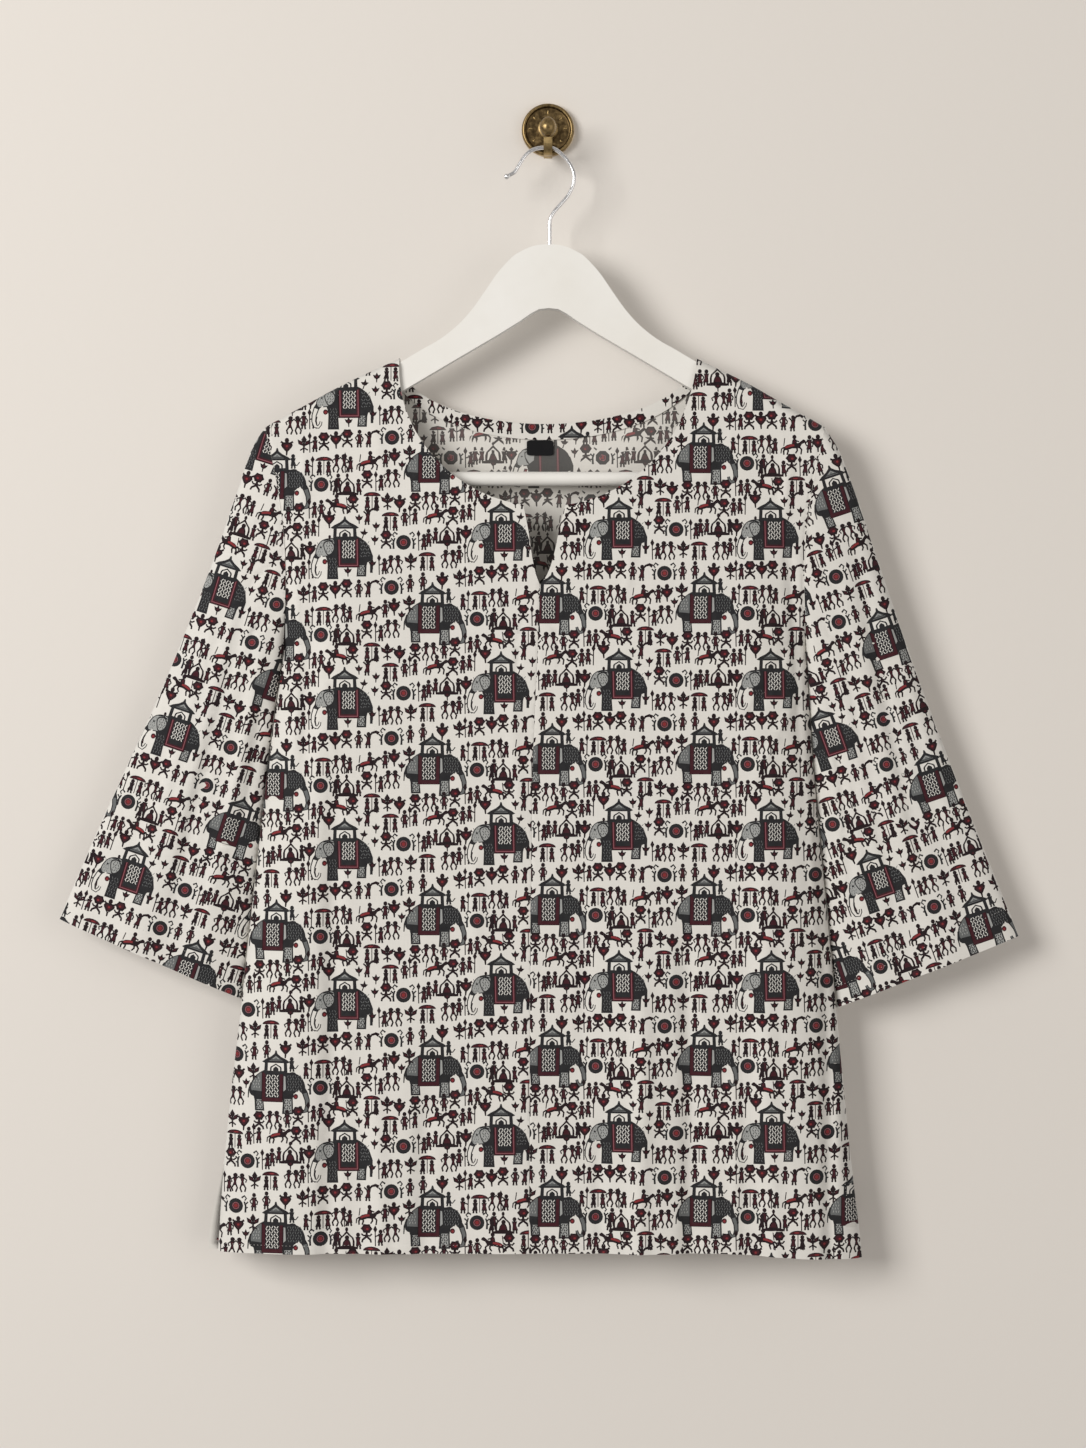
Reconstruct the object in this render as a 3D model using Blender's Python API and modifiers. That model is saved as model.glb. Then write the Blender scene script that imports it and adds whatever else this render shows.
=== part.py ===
# Kurta tunic hanging on a painted wooden hanger from a brass wall hook.
# Sizes below are millimetres; meshes are made in metres.
# +Z is up, the front faces -Y, and the origin is the middle of the wall rose's back face.
import math
from collections import namedtuple

import bmesh
import bpy
from mathutils import Vector

MM = 0.001

# Driving sizes of the garment
WALL = 1.2               # thickness of the cloth's wall
MIDDLE = -32.0           # the hanger's plane, which front and back hang each side of
NECK_HALF = 123.7        # half width of the neck at the shoulder line
NECK_TOP = -196.2        # height of the neck points
FRONT_NECK_DROP = 125.0  # depth of the front neckline below the neck points
BACK_NECK_DROP = 53.0
SHOULDER_POINT = -253.6  # height of the top of the armhole
SHOULDER_HALF = 233.0    # half width of the body there
UNDERARM = -435.4        # height of the bottom of the armhole
UNDERARM_HALF = 217.5
ARMHOLE_BOW = 8.5        # how far the armhole curves in towards the body
SLIT_TOP = -859.0        # the side slits open below this
HEM = -939.3
HEM_SAG = 5.5            # the hem hangs lower at the wearer's left
SLIT_EDGE = 3.0          # how far a slit's edge hangs out at the hem
SLIT_FALL = 50.0         # height over which it gets there
LEFT_FLARE = 8.5         # the back panel shows past the front's slit edge by this
RIGHT_FLARE = 3.0
FLARE_FALL = 70.0
HANGER_ROLL = 9.4        # radius of the cloth where it turns over the hanger
FRONT_FULL = 21.0        # how far the front hangs out from the middle plane
BACK_FULL = 18.0
EDGE_ROUND = 55.0        # width over which a panel turns in to its side seam
FALL = 170.0             # height over which the cloth reaches its full depth
SEAM_HALF = 0.7          # half the gap between the outer faces of two panels at a seam
FRONT_SEAM_HALF = 0.25
ARMHOLE_GAP = 0.8
ARMHOLE_DEPTH = 13.0     # half depth of the open armhole
CUFF_DEPTH = 12.0
FACING_WIDTH = 13.5
FACING_WALL = 1.0
FACING_SPREAD = 0.55     # the band's outer curve widens by this share of its width
FACING_FIRST = 23.0      # angle of the band's ends on the neckline's ellipse
LABEL_X = -6.6
LAID_GAP = 0.45          # what lies on a panel stands this far off it
LABEL_WIDTH = 22.5
LABEL_HEIGHT = 12.8

# Driving sizes of the hanger and the wall hook
HANGER_X = 0.5
HANGER_THICK = 12.0
HANGER_TOP = -102.0
HANGER_EDGE = 4.0        # rounding of its edges
HANGER_DROOP = 0.016     # it falls away from the cloth by this share of its reach
BAR_RADIUS = 6.0
BAR_HEIGHT = -296.7
BAR_HALF = 200.5
WIRE_RADIUS = 1.7
WIRE_TIP = 2.5
ROSE_RADIUS = 22.2
STRAP_WIDTH = 7.2
STRAP_THICK = 2.8
KNOB_RADIUS = 7.0
KNOB_HALF_HEIGHT = 8.3
KNOB_Y = -38.6
KNOB_Z = -4.2
TOUCH = 0.3              # gap between pieces that touch

# The garment hangs a little askew: its middle at each height
Lean = namedtuple("Lean", "height middle")
LEANS = [
    Lean(-190.0, 0.4),
    Lean(-240.0, -2.2),
    Lean(-300.0, -2.5),
    Lean(-435.0, -2.6),
    Lean(-525.0, -5.8),
    Lean(-730.0, -7.9),
    Lean(-855.0, -8.8),
    Lean(-946.0, -6.7),
]

Width = namedtuple("Width", "height half")
SIDE_WIDTHS = [
    Width(UNDERARM, UNDERARM_HALF),
    Width(-525.0, 226.2),
    Width(-730.0, 247.4),
    Width(-855.0, 260.4),
    Width(-946.0, 268.6),
]

Slope = namedtuple("Slope", "reach height")
SHOULDER = [
    Slope(0.0, -134.0),
    Slope(NECK_HALF, NECK_TOP),
    Slope(169.0, -217.9),
    Slope(199.0, -234.5),
    Slope(217.0, -244.4),
    Slope(SHOULDER_HALF, SHOULDER_POINT),
    Slope(280.0, -284.0),
]

Slit = namedtuple("Slit", "height left right")
NECK_SLIT = [
    Slit(-341.0, -16.3, 8.8),
    Slit(-363.0, -13.2, 4.4),
    Slit(-378.0, -9.9, -1.0),
    Slit(-386.0, -6.9, -6.6),
]
NECK_SLIT_LEFT = -20.4
NECK_SLIT_RIGHT = 14.2

Seam = namedtuple("Seam", "height x")
CENTRE_FRONT = [
    Seam(-190.0, -5.4),
    Seam(-386.0, -6.7),
    Seam(-531.0, -12.5),
    Seam(-946.0, -15.9),
]

# A column's place on a panel's top edge, and whether it turns over the hanger
Top = namedtuple("Top", "x height turns")
SHOULDER_REACHES = [SHOULDER_HALF, 231.6, 227.5, 220.0, 206.0, 188.0, 168.0, 146.0, NECK_HALF]
TURN_DROPS = [0.0, 1.2, 3.8, HANGER_ROLL]  # close rows where the cloth turns over
NECK_STEPS = 8
ARMHOLE_ROWS = 7
LOWER_ROWS = 8
FACING_STEPS = 26

# Soft standing folds: where the crest meets the hem and where it dies away
Fold = namedtuple("Fold", "hem_x top_x top_height half_width depth")
FRONT_FOLDS = [
    Fold(-203.0, -196.0, -400.0, 46.0, 4.6),
    Fold(-124.0, -118.0, -640.0, 38.0, 3.2),
    Fold(-38.0, -30.0, -760.0, 36.0, 2.0),
    Fold(84.0, 66.0, -520.0, 50.0, 5.0),
    Fold(208.0, 178.0, -430.0, 46.0, 4.6),
]
BACK_FOLDS = [
    Fold(-190.0, -170.0, -440.0, 48.0, 3.6),
    Fold(-74.0, -60.0, -560.0, 44.0, 3.8),
    Fold(52.0, 44.0, -600.0, 42.0, 2.8),
    Fold(178.0, 160.0, -450.0, 50.0, 4.0),
]

# Sections down each sleeve: the folded outer edge and the seam beside the body
Section = namedtuple("Section", "along outer_x outer_z seam_x seam_z")
LEFT_SLEEVE = [
    Section(0.03, -242.6, -263.2, -222.2, -441.0),
    Section(0.07, -249.6, -278.0, -223.6, -449.0),
    Section(0.14, -257.2, -300.5, -226.6, -463.0),
    Section(0.38, -285.8, -381.2, -233.6, -520.0),
    Section(0.62, -326.7, -481.2, -242.6, -600.0),
    Section(0.83, -372.5, -581.2, -251.2, -672.0),
    Section(1.00, -408.3, -663.7, -256.9, -730.6),
]
RIGHT_SLEEVE = [
    Section(0.03, 239.6, -267.2, 216.6, -441.0),
    Section(0.07, 245.6, -280.0, 217.6, -449.0),
    Section(0.14, 254.8, -304.4, 219.4, -463.0),
    Section(0.38, 278.6, -375.0, 222.4, -522.0),
    Section(0.62, 313.2, -474.0, 229.8, -604.0),
    Section(0.83, 357.8, -590.0, 236.6, -678.0),
    Section(1.00, 393.3, -677.9, 242.2, -738.0),
]
SLEEVE_TOP_PLACES = [0.0, 0.03, 0.07, 0.14]  # close rings beside the armhole
SLEEVE_LOWER_RINGS = 8
SLEEVE_HALF_POINTS = 12
SLEEVE_FOLD = 1.6        # depth of the soft folds down a sleeve
SLEEVE_BACKSET = 4.0     # the cuff hangs this much nearer the wall

# Half of the hanger's outline, outwards from its middle
Edge = namedtuple("Edge", "reach height")
HANGER_UPPER = [
    Edge(0.0, HANGER_TOP),
    Edge(8.0, -102.4),
    Edge(15.4, -104.2),
    Edge(23.0, -107.8),
    Edge(30.4, -112.6),
    Edge(42.2, -125.4),
    Edge(52.6, -140.4),
    Edge(63.2, -155.4),
    Edge(75.0, -168.6),
    Edge(90.0, -180.6),
    Edge(106.0, -189.8),
]
HANGER_UNDER_SHOULDER = [124.0, 140.0, 160.0, 180.0, 197.0, 206.0]
HANGER_LOWER = [
    Edge(213.6, -253.4),
    Edge(216.8, -259.0),
    Edge(218.4, -272.0),
    Edge(218.0, -292.0),
    Edge(215.0, -300.6),
    Edge(210.0, -303.6),
    Edge(205.0, -301.4),
    Edge(202.2, -295.0),
    Edge(199.0, -282.0),
    Edge(193.0, -270.4),
    Edge(184.0, -261.4),
    Edge(41.7, -176.9),
    Edge(0.0, -155.0),
]
HANGER_UNDER_CLOTH = 2.4  # the cloth's outer face lies this far above the hanger
LEAN_ALLOWANCE = 3.4      # the garment sits this much to one side at the shoulders

Bend = namedtuple("Bend", "x z")
WIRE_BENDS = [
    Bend(1.4, HANGER_TOP + 0.2),
    Bend(1.5, -92.0),
    Bend(1.7, -81.0),
    Bend(4.6, -74.6),
    Bend(10.3, -67.9),
    Bend(16.1, -61.2),
    Bend(20.2, -53.6),
    Bend(21.8, -46.8),
    Bend(21.2, -40.6),
    Bend(18.0, -33.6),
    Bend(12.4, -26.8),
    Bend(5.6, -21.6),
    Bend(-0.4, -20.4),
    Bend(-8.4, -20.9),
    Bend(-15.2, -23.6),
    Bend(-20.2, -28.6),
    Bend(-24.2, -35.0),
    Bend(-28.0, -40.8),
    Bend(-32.2, -43.4),
]

Step = namedtuple("Step", "radius height")
ROSE_PROFILE = [
    Step(0.0, 11.4),
    Step(6.6, 11.4),
    Step(8.2, 10.7),
    Step(8.7, 9.6),
    Step(8.5, 4.8),
    Step(9.6, 4.2),
    Step(17.4, 4.2),
    Step(18.5, 4.7),
    Step(19.3, 5.8),
    Step(20.4, 6.2),
    Step(21.4, 5.7),
    Step(22.1, 4.4),
    Step(ROSE_RADIUS, 0.0),
    Step(0.0, 0.0),
]

Point = namedtuple("Point", "y z")
STRAP_SEAT = -21.4 - WIRE_RADIUS - TOUCH - STRAP_THICK / 2
STRAP_BENDS = [
    Point(-4.5, -13.6),
    Point(-7.4, -14.2),
    Point(-9.8, -17.0),
    Point(-11.6, -21.4),
    Point(-16.0, STRAP_SEAT - 0.3),
    Point(-24.0, STRAP_SEAT - 0.2),
    Point(MIDDLE, STRAP_SEAT),
    Point(-36.4, -21.6),
    Point(-38.4, -18.0),
    Point(KNOB_Y, -13.1),
]


def ease(value):
    """Smooth step from 0 to 1."""
    value = min(1.0, max(0.0, value))
    return value * value * (3.0 - 2.0 * value)


def dome(value):
    """Quarter circle from 0 to 1, steep at the start."""
    value = min(1.0, max(0.0, value))
    return math.sqrt(1.0 - (1.0 - value) ** 2)


def read(table, key, column, value):
    """A table's column at a value of its key, on a smooth curve through the rows."""
    rows = sorted(table, key=lambda row: getattr(row, key))
    keys = [getattr(row, key) for row in rows]
    marks = [getattr(row, column) for row in rows]
    value = min(keys[-1], max(keys[0], value))
    index = 0
    while index < len(keys) - 2 and value > keys[index + 1]:
        index += 1
    slopes = [
        (marks[i + 1] - marks[i]) / (keys[i + 1] - keys[i])
        for i in range(len(keys) - 1)
    ]
    tangents = [slopes[0]]
    tangents += [(slopes[i - 1] + slopes[i]) / 2 for i in range(1, len(slopes))]
    tangents.append(slopes[-1])
    span = keys[index + 1] - keys[index]
    t = (value - keys[index]) / span
    start = (1 + 2 * t) * (1 - t) ** 2 * marks[index]
    leave = t * (1 - t) ** 2 * span * tangents[index]
    end = t * t * (3 - 2 * t) * marks[index + 1]
    arrive = t * t * (t - 1) * span * tangents[index + 1]
    return start + leave + end + arrive


def middle_x(height):
    return read(LEANS, "height", "middle", height)


def shoulder_height(reach):
    return read(SHOULDER, "reach", "height", reach)


def centre_front_x(height):
    return read(CENTRE_FRONT, "height", "x", height)


def hem_height(x):
    return HEM - HEM_SAG * ease((x - 130.0) / 130.0)


def half_width(height):
    """Half the body's width: the armhole's curve above, the side seam below."""
    if height < UNDERARM:
        return read(SIDE_WIDTHS, "height", "half", height)
    down = min(1.0, (SHOULDER_POINT - height) / (SHOULDER_POINT - UNDERARM))
    down = max(0.0, down)
    straight = SHOULDER_HALF + (UNDERARM_HALF - SHOULDER_HALF) * down
    return straight - ARMHOLE_BOW * math.sin(math.pi * down)


def armhole_depth(height):
    """Half the armhole's depth: round over the hanger, closed at the underarm."""
    top = HANGER_ROLL * dome((SHOULDER_POINT - height) / HANGER_ROLL)
    down = (SHOULDER_POINT - height) / (SHOULDER_POINT - UNDERARM)
    swell = (ARMHOLE_DEPTH - HANGER_ROLL) * math.sin(math.pi * min(1.0, max(0.0, down)))
    shut = dome((height - UNDERARM) / 40.0)
    return SEAM_HALF + (top + swell) * shut


def fold_depth(folds, x, height):
    total = 0.0
    for fold in folds:
        down = (fold.top_height - height) / (fold.top_height - HEM)
        centre = fold.top_x + (fold.hem_x - fold.top_x) * min(1.0, max(0.0, down))
        away = abs(x - centre) / fold.half_width
        if away < 1.0:
            total += fold.depth * ease(down * 1.25) * (0.5 + 0.5 * math.cos(math.pi * away))
    return total


def panel_depth(x, height, full, folds):
    """How far a panel's outer face stands off the middle plane."""
    reach = abs(x - middle_x(height))
    drop = max(0.0, shoulder_height(reach) - height)
    body = HANGER_ROLL * dome(drop / HANGER_ROLL)
    body += (full - HANGER_ROLL) * ease((drop - 4.0) / FALL)
    body += fold_depth(folds, x, height)
    inward = max(0.0, half_width(height) - reach) / EDGE_ROUND
    if height >= UNDERARM:
        follow = 1.0 - ease(drop / 60.0)
        edge = armhole_depth(height + (SHOULDER_POINT - drop - height) * follow)
    else:
        edge = SEAM_HALF + SLIT_EDGE * ease((SLIT_TOP - height) / SLIT_FALL)
    side_seam = ease((UNDERARM + 30.0 - height) / 60.0)
    turn = (1.0 - side_seam) * math.sin(min(1.0, inward) * math.pi / 2) + side_seam * dome(inward)
    return edge + (body + SEAM_HALF - edge) * turn


def front_point(x, height):
    return Vector((x, MIDDLE - panel_depth(x, height, FRONT_FULL, FRONT_FOLDS), height))


def back_point(x, height):
    return Vector((x, MIDDLE + panel_depth(x, height, BACK_FULL, BACK_FOLDS), height))


def neck_points(drop, inner_reach):
    """A quarter of the neckline's ellipse, as reach and height."""
    last = math.acos(inner_reach / NECK_HALF)
    points = []
    for step in range(1, NECK_STEPS + 1):
        angle = last * (step / NECK_STEPS) ** 1.4
        points.append((NECK_HALF * math.cos(angle), NECK_TOP - drop * math.sin(angle)))
    return points


def front_top_edge(side):
    """The top edge of a front panel, from the armhole to the foot of the neck slit."""
    points = []
    for reach in SHOULDER_REACHES:
        height = shoulder_height(reach)
        points.append(Top(middle_x(height) + side * reach, height, True))
    slit_x = NECK_SLIT_LEFT if side < 0 else NECK_SLIT_RIGHT
    slit_reach = abs(slit_x - middle_x(NECK_TOP - FRONT_NECK_DROP))
    for reach, height in neck_points(FRONT_NECK_DROP, slit_reach):
        points.append(Top(middle_x(height) + side * reach, height, False))
    for row in NECK_SLIT:
        slit_x = row.left if side < 0 else row.right
        points.append(Top(slit_x, row.height, False))
    return points


def back_top_edge():
    """The back's top edge, from one shoulder point to the other."""
    half = [(reach, shoulder_height(reach), True) for reach in SHOULDER_REACHES]
    half += [(reach, height, False) for reach, height in neck_points(BACK_NECK_DROP, 0.0)]
    left = [Top(middle_x(height) - reach, height, turns) for reach, height, turns in half]
    right = [Top(middle_x(height) + reach, height, turns) for reach, height, turns in half[:-1]]
    return left + right[::-1]


def panel_grid(top_edge, left_edge, right_edge, place):
    """Columns from a top edge down to the hem, keeping their share of the width.

    A column under the shoulder has all the close rows that turn over the hanger.
    A column under the neckline starts at the last of them.
    """
    columns = []
    for top in top_edge:
        share = (top.x - left_edge(top.height)) / (right_edge(top.height) - left_edge(top.height))
        if top.turns:
            heights = [top.height - drop for drop in TURN_DROPS]
        else:
            heights = [None] * (len(TURN_DROPS) - 1) + [top.height]
        start = heights[-1]
        for row in range(1, ARMHOLE_ROWS + 1):
            heights.append(start + (UNDERARM - start) * row / ARMHOLE_ROWS)
        foot = hem_height(left_edge(HEM) + share * (right_edge(HEM) - left_edge(HEM)))
        for row in range(1, LOWER_ROWS + 1):
            heights.append(UNDERARM + (foot - UNDERARM) * row / LOWER_ROWS)
        column = []
        for height in heights:
            if height is None:
                column.append(None)
                continue
            left = left_edge(height)
            column.append(place(left + share * (right_edge(height) - left), height))
        columns.append(column)
    return columns


def new_collection(name):
    collection = bpy.data.collections.new(name)
    bpy.context.scene.collection.children.link(collection)
    return collection


def new_material(name, colour, roughness, metallic=0.0):
    material = bpy.data.materials.new(name)
    material.use_nodes = True
    shader = material.node_tree.nodes["Principled BSDF"]
    shader.inputs["Base Color"].default_value = (*colour, 1.0)
    shader.inputs["Roughness"].default_value = roughness
    shader.inputs["Metallic"].default_value = metallic
    material.diffuse_color = (*colour, 1.0)
    return material


def add_object(name, data, material):
    item = bpy.data.objects.new(name, data)
    data.materials.append(material)
    parts.objects.link(item)
    return item


def cloth(name, grid, material, closed=False, flip=False, wall=WALL):
    """An open surface through a grid of points, thickened inwards."""
    mesh = bmesh.new()
    rows = [[point and mesh.verts.new(point * MM) for point in row] for row in grid]
    for index in range(len(rows) - 1):
        count = len(rows[index])
        for k in range(count if closed else count - 1):
            nearby = (k + 1) % count
            corners = [rows[index][k], rows[index][nearby]]
            corners += [rows[index + 1][nearby], rows[index + 1][k]]
            if None in corners:
                continue
            if flip:
                corners.reverse()
            mesh.faces.new(corners)
    data = bpy.data.meshes.new(name)
    mesh.to_mesh(data)
    mesh.free()
    data.shade_smooth()
    item = add_object(name, data, material)
    solidify = item.modifiers.new("Wall", "SOLIDIFY")
    solidify.thickness = wall * MM
    solidify.offset = -1.0
    return item


def add_body_panels():
    def side_left(height):
        return middle_x(height) - half_width(height)

    def side_right(height):
        return middle_x(height) + half_width(height)

    def seam_left(height):
        return centre_front_x(height) - FRONT_SEAM_HALF

    def seam_right(height):
        return centre_front_x(height) + FRONT_SEAM_HALF

    left = panel_grid(front_top_edge(-1), side_left, seam_left, front_point)
    cloth("front_left", left, printed_cotton)
    right = panel_grid(list(reversed(front_top_edge(1))), seam_right, side_right, front_point)
    cloth("front_right", right, printed_cotton)

    def back_left(height):
        return side_left(height) - LEFT_FLARE * ease((SLIT_TOP - height) / FLARE_FALL)

    def back_right(height):
        return side_right(height) - RIGHT_FLARE * ease((SLIT_TOP - height) / FLARE_FALL)

    back = panel_grid(back_top_edge(), back_left, back_right, back_point)
    cloth("back", back, printed_cotton, flip=True)


def inner_back_point(x, height, lift):
    """A point lifted off the back panel's inner face."""
    step = 1.0
    across = back_point(x + step, height) - back_point(x - step, height)
    down = back_point(x, height - step) - back_point(x, height + step)
    outward = across.cross(down)
    outward.normalize()
    if outward.y < 0:
        outward.negate()
    return back_point(x, height) - outward * (WALL + lift)


def add_neck_facing():
    """The turned band that finishes the back neck, on the inner face."""
    first = math.radians(FACING_FIRST)
    columns = []
    for step in range(FACING_STEPS + 1):
        angle = first + (math.pi - 2 * first) * step / FACING_STEPS
        column = []
        for width in (LAID_GAP, FACING_WIDTH / 2, FACING_WIDTH):
            reach = (NECK_HALF + width * FACING_SPREAD) * math.cos(angle)
            height = NECK_TOP - (BACK_NECK_DROP + width) * math.sin(angle)
            x = middle_x(height) + reach
            column.append(inner_back_point(x, height, LAID_GAP + FACING_WALL))
        columns.append(column)
    cloth("neck_facing", columns, printed_cotton, flip=True, wall=FACING_WALL)


def add_label():
    """A small blank woven label under the middle of the facing."""
    columns = []
    top = NECK_TOP - BACK_NECK_DROP - FACING_WIDTH - 2 * LAID_GAP
    for across in range(5):
        x = LABEL_X + LABEL_WIDTH * (across / 4 - 0.5)
        column = []
        for down in range(3):
            height = top - LABEL_HEIGHT * down / 2
            column.append(inner_back_point(x, height, LAID_GAP + FACING_WALL))
        columns.append(column)
    cloth("label", columns, label_cloth, wall=FACING_WALL)


def sleeve_sections(sections, side):
    """The sleeve's sections with the armhole's own as the first."""
    middle = middle_x(UNDERARM)
    top = middle + side * (half_width(SHOULDER_POINT) + ARMHOLE_GAP)
    foot = middle + side * (half_width(UNDERARM) + ARMHOLE_GAP)
    return [Section(0.0, top, SHOULDER_POINT, foot, UNDERARM)] + sections


def sleeve_ring(sections, along, side):
    """One closed section of a sleeve: front from outer fold to seam, then back."""
    outer = Vector((read(sections, "along", "outer_x", along), 0.0,
                    read(sections, "along", "outer_z", along)))
    seam = Vector((read(sections, "along", "seam_x", along), 0.0,
                   read(sections, "along", "seam_z", along)))
    leaving = 1.0 - ease(along / 0.30)
    centre = MIDDLE + SLEEVE_BACKSET * ease(along)
    half = ARMHOLE_DEPTH + (CUFF_DEPTH - ARMHOLE_DEPTH) * along
    front = []
    back = []
    for step in range(SLEEVE_HALF_POINTS + 1):
        angle = math.pi * step / SLEEVE_HALF_POINTS
        share = (1.0 - math.cos(angle)) / 2
        spot = outer.lerp(seam, share)
        spot.x -= side * leaving * ARMHOLE_BOW * math.sin(math.pi * share)
        lens = half * math.sin(angle) ** 0.85
        wave = math.sin(math.pi * share) * math.cos(5.0 * math.pi * share)
        fold = SLEEVE_FOLD * ease(along * 1.6) * wave
        at_armhole = armhole_depth(SHOULDER_POINT + (UNDERARM - SHOULDER_POINT) * share)
        if step in (0, SLEEVE_HALF_POINTS):
            at_armhole = 0.0
        depth = at_armhole * leaving + (lens + fold) * (1.0 - leaving)
        front.append(Vector((spot.x, centre - depth, spot.z)))
        back.append(Vector((spot.x, centre + depth, spot.z)))
    return front + back[-2:0:-1]


def add_sleeve(name, sections, side):
    places = list(SLEEVE_TOP_PLACES)
    for step in range(1, SLEEVE_LOWER_RINGS + 1):
        places.append(places[3] + (1.0 - places[3]) * step / SLEEVE_LOWER_RINGS)
    sections = sleeve_sections(sections, side)
    rings = [sleeve_ring(sections, along, side) for along in places]
    cloth(name, rings, printed_cotton, closed=True, flip=side < 0)


def hanger_outline():
    """The hanger's outline, under the shoulders just below the cloth."""
    half = list(HANGER_UPPER)
    for reach in HANGER_UNDER_SHOULDER:
        droop = HANGER_UNDER_CLOTH + HANGER_DROOP * (reach - NECK_HALF)
        half.append(Edge(reach, shoulder_height(reach + LEAN_ALLOWANCE) - droop))
    half += HANGER_LOWER
    mirrored = [Edge(-edge.reach, edge.height) for edge in reversed(half[1:-1])]
    return half + mirrored


def mesh_from_curve(name, curve, material):
    """Turns a filled curve into a mesh object with its caps welded."""
    source = bpy.data.objects.new(name + "_curve", curve)
    parts.objects.link(source)
    graph = bpy.context.evaluated_depsgraph_get()
    data = bpy.data.meshes.new_from_object(source.evaluated_get(graph))
    data.name = name
    mesh = bmesh.new()
    mesh.from_mesh(data)
    bmesh.ops.remove_doubles(mesh, verts=mesh.verts, dist=0.00001)
    mesh.to_mesh(data)
    mesh.free()
    bpy.data.objects.remove(source)
    data.materials.clear()
    return add_object(name, data, material)


def flat_plate(name, outline, half_thickness, material):
    curve = bpy.data.curves.new(name, "CURVE")
    curve.dimensions = "2D"
    curve.fill_mode = "BOTH"
    curve.extrude = half_thickness * MM
    spline = curve.splines.new("POLY")
    spline.points.add(len(outline) - 1)
    for point, (across, up) in zip(spline.points, outline):
        point.co = (across * MM, up * MM, 0.0, 1.0)
    spline.use_cyclic_u = True
    return mesh_from_curve(name, curve, material)


def round_edges(item, width, segments):
    bevel = item.modifiers.new("Edges", "BEVEL")
    bevel.width = width * MM
    bevel.segments = segments
    bevel.limit_method = "ANGLE"
    bevel.angle_limit = math.radians(60.0)


def add_hanger():
    outline = [(edge.reach, edge.height) for edge in hanger_outline()]
    body = flat_plate("hanger_body", outline, HANGER_THICK / 2, white_paint)
    body.location = Vector((HANGER_X, MIDDLE, 0.0)) * MM
    body.rotation_euler = (math.pi / 2, 0.0, 0.0)
    round_edges(body, HANGER_EDGE, 2)

    bpy.ops.mesh.primitive_cylinder_add(
        vertices=24,
        radius=BAR_RADIUS * MM,
        depth=2 * BAR_HALF * MM,
        location=Vector((HANGER_X, MIDDLE, BAR_HEIGHT)) * MM,
        rotation=(0.0, math.pi / 2, 0.0),
    )
    bar = bpy.context.object
    bar.name = "trouser_bar"
    bar.data.materials.append(white_paint)
    bar.data.shade_smooth()
    bar.data.set_sharp_from_angle(angle=math.radians(40.0))
    for collection in list(bar.users_collection):
        collection.objects.unlink(bar)
    parts.objects.link(bar)


def smooth_route(points, steps):
    """Points on a smooth curve through the route's own points."""
    route = []
    last = len(points) - 1
    for index in range(last):
        before = points[max(0, index - 1)]
        start = points[index]
        end = points[index + 1]
        after = points[min(last, index + 2)]
        for step in range(steps):
            t = step / steps
            curve = start * 2 + (end - before) * t
            curve += (before * 2 - start * 5 + end * 4 - after) * t * t
            curve += (start * 3 - before - end * 3 + after) * t * t * t
            route.append(curve / 2)
    route.append(points[last])
    return route


def add_hook_wire():
    bends = [Vector((bend.x, MIDDLE, bend.z)) for bend in WIRE_BENDS]
    route = smooth_route(bends, 2)
    curve = bpy.data.curves.new("hook_wire", "CURVE")
    curve.dimensions = "3D"
    curve.bevel_depth = WIRE_RADIUS * MM
    curve.bevel_resolution = 2
    curve.use_fill_caps = True
    spline = curve.splines.new("POLY")
    tip = [1.0, WIRE_TIP / WIRE_RADIUS, WIRE_TIP / WIRE_RADIUS * 0.9, 0.4]
    end = route[-1]
    ahead = (route[-1] - route[-2]).normalized()
    route += [end + ahead * 1.2, end + ahead * 3.0, end + ahead * 4.4]
    spline.points.add(len(route) - 1)
    for index, (point, place) in enumerate(zip(spline.points, route)):
        point.co = (*(place * MM), 1.0)
        from_end = len(route) - 1 - index
        if from_end < len(tip):
            point.radius = tip[len(tip) - 1 - from_end]
    wire = mesh_from_curve("hook_wire", curve, bright_steel)
    wire.data.shade_smooth()


def turned(name, profile, steps, material):
    """A round piece turned from a profile that runs from its top to its foot."""
    data = bpy.data.meshes.new(name)
    points = [(row.radius * MM, 0.0, row.height * MM) for row in profile]
    edges = [(index, index + 1) for index in range(len(points) - 1)]
    data.from_pydata(points, edges, [])
    item = add_object(name, data, material)
    screw = item.modifiers.new("Turn", "SCREW")
    screw.steps = steps
    screw.render_steps = steps
    screw.use_merge_vertices = True
    screw.merge_threshold = 0.00001
    screw.use_smooth_shade = True
    return item


def add_wall_hook():
    rose = turned("wall_rose", ROSE_PROFILE, 40, aged_brass)
    rose.rotation_euler = (math.pi / 2, 0.0, 0.0)

    profile = []
    for step in range(11):
        angle = math.pi * step / 10
        height = KNOB_HALF_HEIGHT * math.cos(angle)
        narrowing = 1.0 - 0.10 * max(0.0, math.cos(angle))
        radius = KNOB_RADIUS * math.sin(angle) * narrowing
        profile.append(Step(0.0 if step in (0, 10) else radius, height))
    knob = turned("hook_knob", profile, 24, aged_brass)
    knob.location = Vector((0.0, KNOB_Y, KNOB_Z)) * MM

    bends = [Vector((0.0, bend.y, bend.z)) for bend in STRAP_BENDS]
    route = smooth_route(bends, 2)
    upper = []
    lower = []
    for index, place in enumerate(route):
        ahead = route[min(index + 1, len(route) - 1)] - route[max(index - 1, 0)]
        side = Vector((0.0, -ahead.z, ahead.y)).normalized() * (STRAP_THICK / 2)
        upper.append(place + side)
        lower.append(place - side)
    loop = upper + lower[::-1]
    strap = flat_plate("hook_strap", [(spot.y, spot.z) for spot in loop], STRAP_WIDTH / 2, aged_brass)
    strap.rotation_euler = (math.pi / 2, 0.0, math.pi / 2)
    round_edges(strap, 0.7, 1)


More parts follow.
